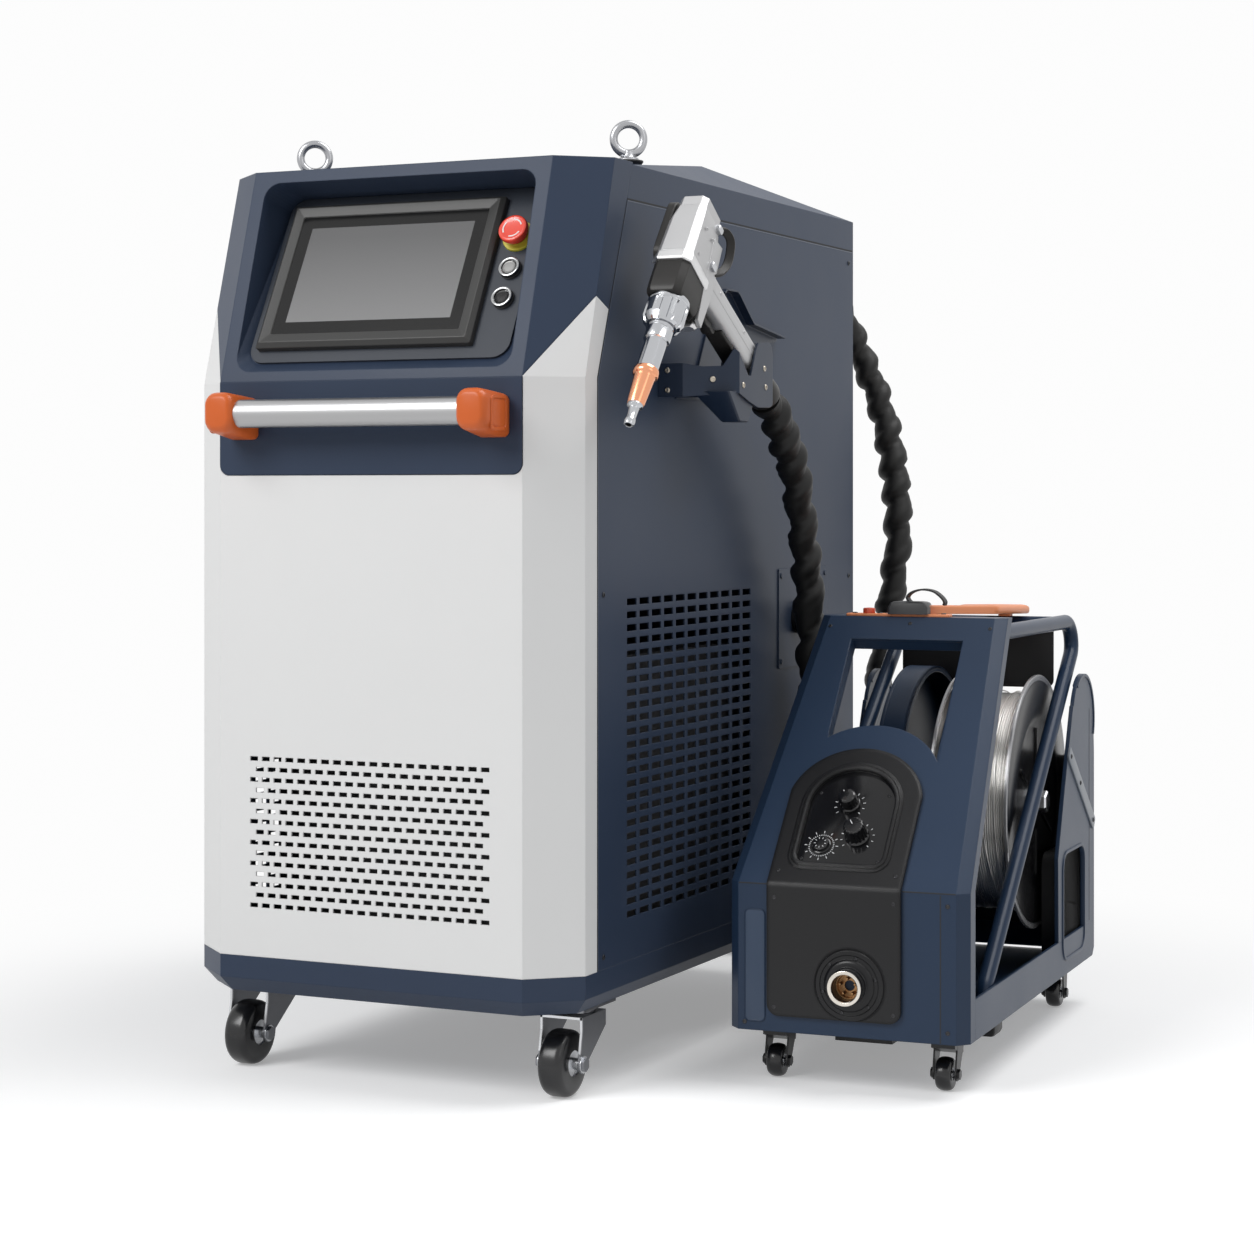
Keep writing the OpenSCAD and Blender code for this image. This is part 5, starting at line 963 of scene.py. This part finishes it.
# Wire socket. A panel-mount connector: a moulded flange with six small screws, a
# threaded plastic barrel with a plated lip and brass contacts inside.
socket_black = finish("socket_black", (0.007, 0.007, 0.008), 0.28, cloud=0.1, grain=0.15, specular=0.3, edge=0.8)
contact_brass = finish("contact_brass", (0.30, 0.17, 0.08), 0.35, metal=1.0, cloud=0.3, edge=0.3)
bright_lip = finish("bright_lip", (0.66, 0.62, 0.56), 0.2, metal=1.0, cloud=0.1, edge=0.4)
socket = Form()
socket_x, socket_z = 6, 122
screw_ring_r, contact_ring_r = 31.8, 9.2
at = upright @ move(socket_x, socket_z, 0)
socket.add(turned([(15.2, -0.6), (39.6, -0.6), (40, 0), (40, 5.6), (39, 6.8), (37.5, 7), (34.5, 7.0), (33.8, 6.2),
    (29.6, 6.2), (28.8, 7.4), (27.6, 8.6), (25.5, 9.4), (21.5, 9.6), (20.6, 10.5), (20.4, 14), (19.4, 14.6),
    (19.4, 16), (20.4, 16.6), (20.4, 18), (19.4, 18.6), (19.4, 20), (20.4, 20.6), (20.4, 24.4), (19.6, 25.6),
    (18.6, 26), (16.4, 26), (15.4, 25.2), (15.2, 24)], 72, hollow=True, marks=[0] * 23 + [1, 1, 1, 1, 0]), at)
for i in range(6):
    socket.add(screw(2.0, 1.0), at @ turn("Z", 15 + 60 * i) @ move(screw_ring_r, 0, 6.1), 2)
socket.add(turned([(6, 0.2), (15, 0.2), (15, 9), (13.4, 9), (13.0, 3.5), (6, 3.5)], 40, hollow=True), at, 3)
for i in range(5):
    socket.add(turned([(1.9, 3), (1.9, 11), (1.2, 13)], 12),
        at @ turn("Z", 20 + 72 * i) @ move(contact_ring_r, 0, 0), 3)
socket = socket.make("wire_socket_moulded", [socket_black, bright_lip, screw_dark, contact_brass], "feeder",
    "black_plastic", 26.0)
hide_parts("wire_socket")

# Cage. Two steel tubes, each bent from one length from the tray up along the
# diagonal and forward to the cover, with a thinner cross tube; powder-coated.
tube_r, tube_bend_r, cross_tube_r = 9.5, 25, 7.5
foot_x, foot_y, floor_z = 125.0, 128, 67
cross_y, top_tube_z = 569, 505
cage_navy = finish("cage_navy", (0.012, 0.028, 0.062), 0.30, cloud=0.06, spread=0.05, grain=0.15, edge=0.5,
    specular=0.2)


def bent(points, r, step=4.0):
    """A line through straight legs with round bends of radius r between them."""
    line = [Vector(points[0])]
    for a, b, c in zip(points[:-2], points[1:-1], points[2:]):
        a, b, c = Vector(a), Vector(b), Vector(c)
        u, v = (a - b).normalized(), (c - b).normalized()
        t = u.angle(v)
        leg = r / math.tan(t / 2)
        middle = b + (u + v).normalized() * r / math.sin(t / 2)
        p, q = b + u * leg - middle, b + v * leg - middle
        w = math.pi - t
        count = max(4, round(r * w / step))
        for k in range(count + 1):
            line.append(middle + (p * math.sin((1 - k / count) * w) + q * math.sin(k / count * w)) / math.sin(w))
    line.append(Vector(points[-1]))
    return line


cage = Form()
for s in (-1, 1):
    route = [(s * foot_x, foot_y, floor_z), (s * foot_x, foot_y, 101), (s * 119.0, 655, top_tube_z),
        (s * 103.5, 276, top_tube_z)]
    cage.add(skin(rings_along(bent(route, tube_bend_r), 24, lambda run, a: tube_r)), feeder)
    cage.add(turned([(9.6, 67), (15, 67), (15, 69.4), (13.8, 70.6), (9.6, 71)], 32, hollow=True),
        feeder @ move(s * foot_x, foot_y, 0))
cross = [Vector((x, cross_y, top_tube_z)) for x in (-118, 118)]
cage.add(skin(rings_along(cross, 24, lambda run, a: cross_tube_r)), feeder)
cage = cage.make("cage_tubes", [cage_navy], "feeder", "feeder_paint")
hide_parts("feeder_cage")

# Handle. A moulded orange board with a crowned paddle and a slim neck, screwed
# through a strip to the cover's top; a small buckle and a webbing loop sit by it.
handle_mould = finish("handle_mould", (0.84, 0.285, 0.115), 0.44, cloud=0.04, spread=0.04, grain=0.3,
    size=0.8, edge=1.5)
strap_black = finish("strap_black", (0.018, 0.018, 0.019), 0.55, cloud=0.15, grain=0.6, size=1.2, edge=0.5)
buckle_grey = finish("buckle_grey", (0.035, 0.035, 0.037), 0.38, cloud=0.08, grain=0.2, edge=0.5)
knob_red = finish("knob_red", (0.62, 0.075, 0.03), 0.34, cloud=0.05, edge=0.5)
handle_y, cover_top_z, strip_t, handle_fall = 280.7, 523, 3, 2.09
board = feeder @ move(0, handle_y, cover_top_z + strip_t) @ turn("X", -handle_fall)
handle = Form()
rings = []
outline = rounded(54, 182, 12, 6, x=40, y=228.5)
for z, inset in ((0.2, 3.0), (1.0, 1.0), (3.0, 0.0), (7.4, 0.0), (9.8, 1.4), (11.2, 4.4), (12.0, 9.5)):
    rings.append(level(shrunk(outline, inset), z))
handle.add(skin(rings), board)
neck = [(67, 152), (13, 152), (-22, -14), (14, -14)]
handle.add(plate(neck, 0.3, 10.8, 2.6), board)
handle.add(plate(rounded(130, 20, 3), 0, 3.2, 1.2), feeder @ move(-20, handle_y, cover_top_z))
handle.add(skin([level(rounded(16, 16, 2), z) for z in (512.2, 519.0)]), feeder @ move(40, cross_y, 0))
for x in (-76, -44, 36):
    handle.add(screw(3.2, 1.4), feeder @ move(x, handle_y, 526.1), 1)
handle = handle.make("handle_board", [handle_mould, screw_dark], "feeder", "handle_orange", 40.0)
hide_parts("feeder_handle")
fasten = Form()
fasten.add(turned([(6.5, 0), (7.5, 0.6), (7.5, 5.4), (6.6, 6.6), (3, 7)], 32), feeder @ move(-58, handle_y, 526), 2)
fasten.add(skin([level(rounded(w, d, 3, 3, x=-6, y=281), z) for w, d, z in ((50, 30, 526), (50, 30, 534),
    (44, 28, 539.6), (38, 24, 541), (30, 18, 541.6))]), feeder, 1)
for x in (-26, 14):
    fasten.add(screw(2.6, 1.2), feeder @ move(x, 281, 538.6), 3)
loop = spline_through([(-6, 282, 541), (-9, 281, 546), (-3, 280, 552.5), (10, 280, 556), (24, 281, 554),
    (33, 284, 547), (36, 288, 541), (34, 292, 537)], 2.5)
webbing_half, webbing_half_t = 7.0, 1.1
across = Vector((0, 1, 0))
wide = across * webbing_half
ribbon = []
for i, point in enumerate(loop):
    ahead = (loop[min(i + 1, len(loop) - 1)] - loop[max(i - 1, 0)]).normalized()
    thick = ahead.cross(across).normalized() * webbing_half_t
    ribbon.append([point + wide + thick, point - wide + thick, point - wide - thick, point + wide - thick])
fasten.add(skin(ribbon), feeder, 0)
fasten.make("handle_strap_and_buckle", [strap_black, buckle_grey, knob_red, screw_dark], "feeder", "black_rubber", 40.0)

# Spool. Two moulded black flanges with bright rims on a drum, and the steel wire
# wound on it turn by turn, with some loose turns on top; it spins on the axle.
spool_black = finish("spool_black", (0.006, 0.006, 0.007), 0.24, cloud=0.15, specular=0.3, edge=0.6)
spool_rim = finish("spool_rim", (0.34, 0.34, 0.35), 0.26, cloud=0.1, metal=0.6, edge=0.4)
wound_wire = finish("wound_wire", (0.74, 0.73, 0.71), 0.30, metal=1.0, cloud=0.22, spread=0.1, edge=0.2)
spool_x, axle_y, axle_z = 58, 465, 283
rib_count, rib_r = 6, 64
spool_at = feeder @ move(spool_x, axle_y, axle_z) @ turn("Y", 90)
spool = Form()
side = [(12.7, -50), (24, -50), (25, -49.4), (27, -47.6), (100, -47.6), (104, -48.6), (112, -50), (150, -50),
    (153, -49.4), (156, -50.2), (159.4, -50), (160, -49.2), (160, -46.4), (159, -46), (154, -46.2), (110, -46.2)]
whole = side + [(r, -z) for r, z in side[::-1]]
flange_marks = [0, 0, 0, 0, 0, 0, 0, 0, 1, 1, 1, 1, 1, 1, 0]
spool.add(turned(whole, 96, hollow=True, marks=flange_marks + [0] + flange_marks[::-1] + [0]), spool_at)
for s in (-1, 1):
    for i in range(rib_count):
        spool.add(skin([level(rounded(58, 5, 2, 2), z) for z in (46.6, 49.4)]),
            spool_at @ turn("X", 0 if s > 0 else 180) @ turn("Z", 360 / rib_count * i) @ move(rib_r, 0, 0))
spool = spool.make("spool_flanges", [spool_black, spool_rim], "spool", "black_gloss", 28.0)
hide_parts("spool")
winding = Form()
drum_r, winding_r, winding_half = 110.5, 136.2, 46
turn_pitch, turn_count = 2.9, 32
profile = [(drum_r, -winding_half)]
for i in range(turn_count):
    z = 0.4 - winding_half + turn_pitch * i
    layer = winding_r + 1.2 * math.sin(i * 0.9) * math.sin(i * 0.37)
    profile += [(layer - 1.1, z), (layer + 0.1, z + 0.45), (layer + 0.5, z + 1.2), (layer + 0.1, z + 2.0),
        (layer - 1.1, z + 2.5)]
profile.append((drum_r, winding_half))


def uneven(a, r, z):
    """Radius of the winding, slightly out of round where the wire lies."""
    return r + 0.5 * math.sin(3 * a + z / 9.0) if r > drum_r + 9.5 else r


winding.add(turned([(r, min(max(z, -winding_half), winding_half)) for r, z in profile], 72, wave=uneven,
    hollow=True), spool_at)
strand_r, strand_steps, strand_step, strand_end = 0.8, 60, 0.105, 44.5
for start, drift, lift in ((-40, 70, 1.2), (-10, -30, 1.0), (30, -58, 1.3), (12, 22, 0.9)):
    out = winding_r + 1.2 + lift
    strand = []
    for i in range(strand_steps):
        z = max(-strand_end, min(strand_end, start + drift * i / strand_steps))
        strand.append(Vector((out * math.cos(strand_step * i), out * math.sin(strand_step * i), z)))
    winding.add(skin(rings_along(strand, 6, lambda run, a: strand_r)), spool_at)
winding = winding.make("wound_wire_turns", [wound_wire], "spool", "spool_wire", 60.0)
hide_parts("spool_wire")

# Spool carrier. An arched sheet wall with a lip welded round its edge, the hub
# that holds the axle, and the axle's cap nut.


def arc_band(inner, outer, low, high, start, end, steps=48):
    """A band along an arc, with a square section."""
    rings = []
    for i in range(steps + 1):
        a = math.radians(start + (end - start) * i / steps)
        rings.append([(r * math.cos(a), r * math.sin(a), z) for r, z in ((inner, low), (outer, low), (outer, high),
            (inner, high))])
    return skin(rings)


lengthways = turn("Z", 90) @ turn("X", 90)
wall_x, lip_inner_r, lip_outer_r, lip_deep = -60, 164.6, 167.8, 34
guard_at = feeder @ move(wall_x, axle_y, axle_z) @ lengthways
guard = Form()
guard.add(arc_band(lip_inner_r, lip_outer_r, -0.4, lip_deep, 0, 180), guard_at, 0)
guard.add(arc_band(160.5, lip_outer_r, 31.5, lip_deep, 0, 180), guard_at, 0)
for s in (-1, 1):
    guard.add(skin([level(rounded(3.2, 214, 0.8, 2), z) for z in (-0.4, lip_deep)]),
        guard_at @ move(s * 166.2, -107, 0), 0)
guard.add(turned([(12.6, 4), (25, 4.2), (25, 30), (23, 33), (12.6, 34)], 40, hollow=True), guard_at, 1)
guard.add(hexagon(14, 0, 9), feeder @ move(112.2, axle_y, axle_z) @ turn("Y", 90), 2)
guard.make("spool_wall_lip", [feeder_navy, spool_black, castor_hub], "feeder", "feeder_paint", 28.0)

# Side plates. Sheet steel with a turned-in lip round the opening and along the
# arch, a flat strap screwed across the outside, and small screws.
strap_grey = finish("strap_grey", (0.15, 0.17, 0.20), 0.36, cloud=0.07, grain=0.3, edge=0.6)
side_x, opening_y, opening_z = 140.5, 525, 150
arch_y, arch_z = 583, 376
strap_w, strap_t = 18, 2.2
strap_from, strap_to = Vector((494, 344)), Vector((640, 236))
strap_run = strap_to - strap_from
strap_mid = (strap_from + strap_to) / 2
strap_turn = math.degrees(math.atan2(strap_run.y, strap_run.x))
sides = Form()
for s in (-1, 1):
    face = feeder @ move(s * side_x, 0, 0) @ lengthways @ Matrix.Diagonal((1, 1, s, 1))
    sides.add(frame_plate(rounded(128, 140, 24, 6), rounded(119.4, 131.4, 19.6, 6), -4.6, 1.4, 0.7),
        face @ move(opening_y, opening_z, 0), 0)
    sides.add(arc_band(58, 62, -6, 1.3, -20, 128, 30), face @ move(arch_y, arch_z, 0), 0)
    strap_at = face @ move(strap_mid.x, strap_mid.y, 0) @ turn("Z", strap_turn)
    sides.add(plate(rounded(strap_run.length, strap_w, 4), -0.3, strap_t, 0.6), strap_at, 1)
    for k in (-0.44, -0.08, 0.44):
        sides.add(screw(3.0, 1.2), strap_at @ move(k * strap_run.length, 0, strap_t), 2)
    sides.add(strip(615.6, 616.8, 112, 390, -0.4, 0.2), face, 3)
sides.make("side_plate_lips_and_straps", [feeder_navy, strap_grey, screw_dark, seam_dark], "feeder",
    "feeder_paint", 28.0)

# Black boards. Sheet that closes the back and the low left side, one hung from the
# cross tube behind the spool, a tray behind the right opening, and a foot. The
# boards are black partly as painted shade, so that the feeder's inside looks dark
# through its openings.
board_black_and_painted_shade = finish("board_black_and_painted_shade", (0.008, 0.008, 0.009), 0.42, cloud=0.1, grain=0.3, edge=1.2, specular=0.3)
board_t, board_edge = 3, 0.8
boards = Form()
boards.add(plate(rounded(269, 226, 3), 0, board_t, board_edge), upright @ move(0, 213, -641))
boards.add(plate(rounded(204, 84, 10), 0, board_t, board_edge), upright @ move(0, 461, -579.5))
for x in (-80, 0, 80):
    boards.add(skin([level(rounded(14, 10, 1.5), z) for z in (493, 506)]), feeder @ move(x, 574, 0))
recess = feeder @ move(134.8, 0, 0) @ lengthways @ move(opening_y, opening_z, 0)
boards.add(skin([level(rounded(w, h, r, 6), z) for w, h, r, z in ((118, 130, 19, 0), (121, 133, 20, 0),
    (121, 133, 20, -22), (118, 130, 19, -22), (118, 130, 19, -20.5), (117, 129, 19, -20.5),
    (117, 129, 19, 0))]), recess)
boards.add(plate(rounded(372, 116, 3), 0, board_t, board_edge),
    feeder @ move(-137, 0, 0) @ lengthways @ move(228, 126, 0))
boards.add(skin([level(rounded(w, d, 3, 3), z) for w, d, z in ((26, 40, 64), (26, 40, 30), (22, 36, 26),
    (18, 32, 25))]), feeder @ move(96, 262, 0))
boards.make("feeder_rear_boards", [board_black_and_painted_shade], "feeder", "black_plastic", 25.0)

# Wire drive. A cast block with the drive rollers on the tray's floor and its
# housing under the tray; plain black coat.
drive_black = finish("drive_black", (0.020, 0.020, 0.021), 0.45, cloud=0.1, grain=0.4, edge=1.5)
paint_nodes(drive_black, "wire_drive")
block_top_z = 117
rollers = Form()
for x, y in ((-34, 150), (14, 150), (-34, 200), (14, 200)):
    at = feeder @ move(x, y, block_top_z)
    rollers.add(turned([(4, 0), (15, 0), (16, 1), (16, 4), (14.6, 5.4), (14.6, 6.6), (16, 8), (16, 11), (15, 12),
        (4, 12)], 40), at, 0)
    rollers.add(hexagon(6, 11.5, 16), at, 0)
rollers.make("drive_rollers", [castor_hub], "feeder", "bright_steel", 28.0)

# Feeder castors. Small swivelling castors at the front and fixed ones at the
# rear: black-plated forks on a race and moulded black wheels.
small_x, small_swivel_y, small_front_y, small_rear_y = 100, 70, 58, 594
small_r, small_w, small_hub_r, small_reach, small_bore_r = 19, 18, 7.0, 11.7, 3.1
crown_half = 13.9
fork_black = finish("fork_black", (0.010, 0.010, 0.011), 0.32, cloud=0.12, grain=0.15, edge=0.5, specular=0.35)
paint_nodes(fork_black, "feeder_rear_forks", "feeder_fork_left", "feeder_fork_right")


def crown(form, place, front, back, top):
    """The folded crown that closes a small fork over its wheel."""
    form.add(skin([level([(crown_half, b), (-crown_half, b), (-crown_half, f), (crown_half, f)], z)
        for b, f, z in ((back, front, top), (back, front, top - 9), (back - 1, back - 7, top - 19))]), place)


for side, s in (("left", -1), ("right", 1)):
    hood = Form()
    crown(hood, feeder @ move(s * small_x, small_swivel_y, 0), -24, 13, 58.4)
    hood.make("feeder_fork_crown_" + side, [fork_black], "feeder_castor_" + side, "black_plastic", 25.0)
hood = Form()
for s in (-1, 1):
    crown(hood, feeder @ move(s * small_x, small_rear_y, 0), -14, 13, 62.6)
    hood.add(plate(rounded(44, 52, 5), -2.6, 0.4, 0.8),
        feeder @ move(s * small_x, small_swivel_y, 60.7) @ turn("X", 180))
hood.make("feeder_rear_fork_crowns", [fork_black], "feeder", "black_plastic", 25.0)
for name, s, y in (("feeder_wheel_fl", -1, small_front_y), ("feeder_wheel_fr", 1, small_front_y),
        ("feeder_wheel_rl", -1, small_rear_y), ("feeder_wheel_rr", 1, small_rear_y)):
    wheel_on(feeder @ move(s * small_x, y, small_r), small_r, small_w, small_hub_r, small_reach, small_bore_r,
        name + "_moulded", name, name, "black_rubber")
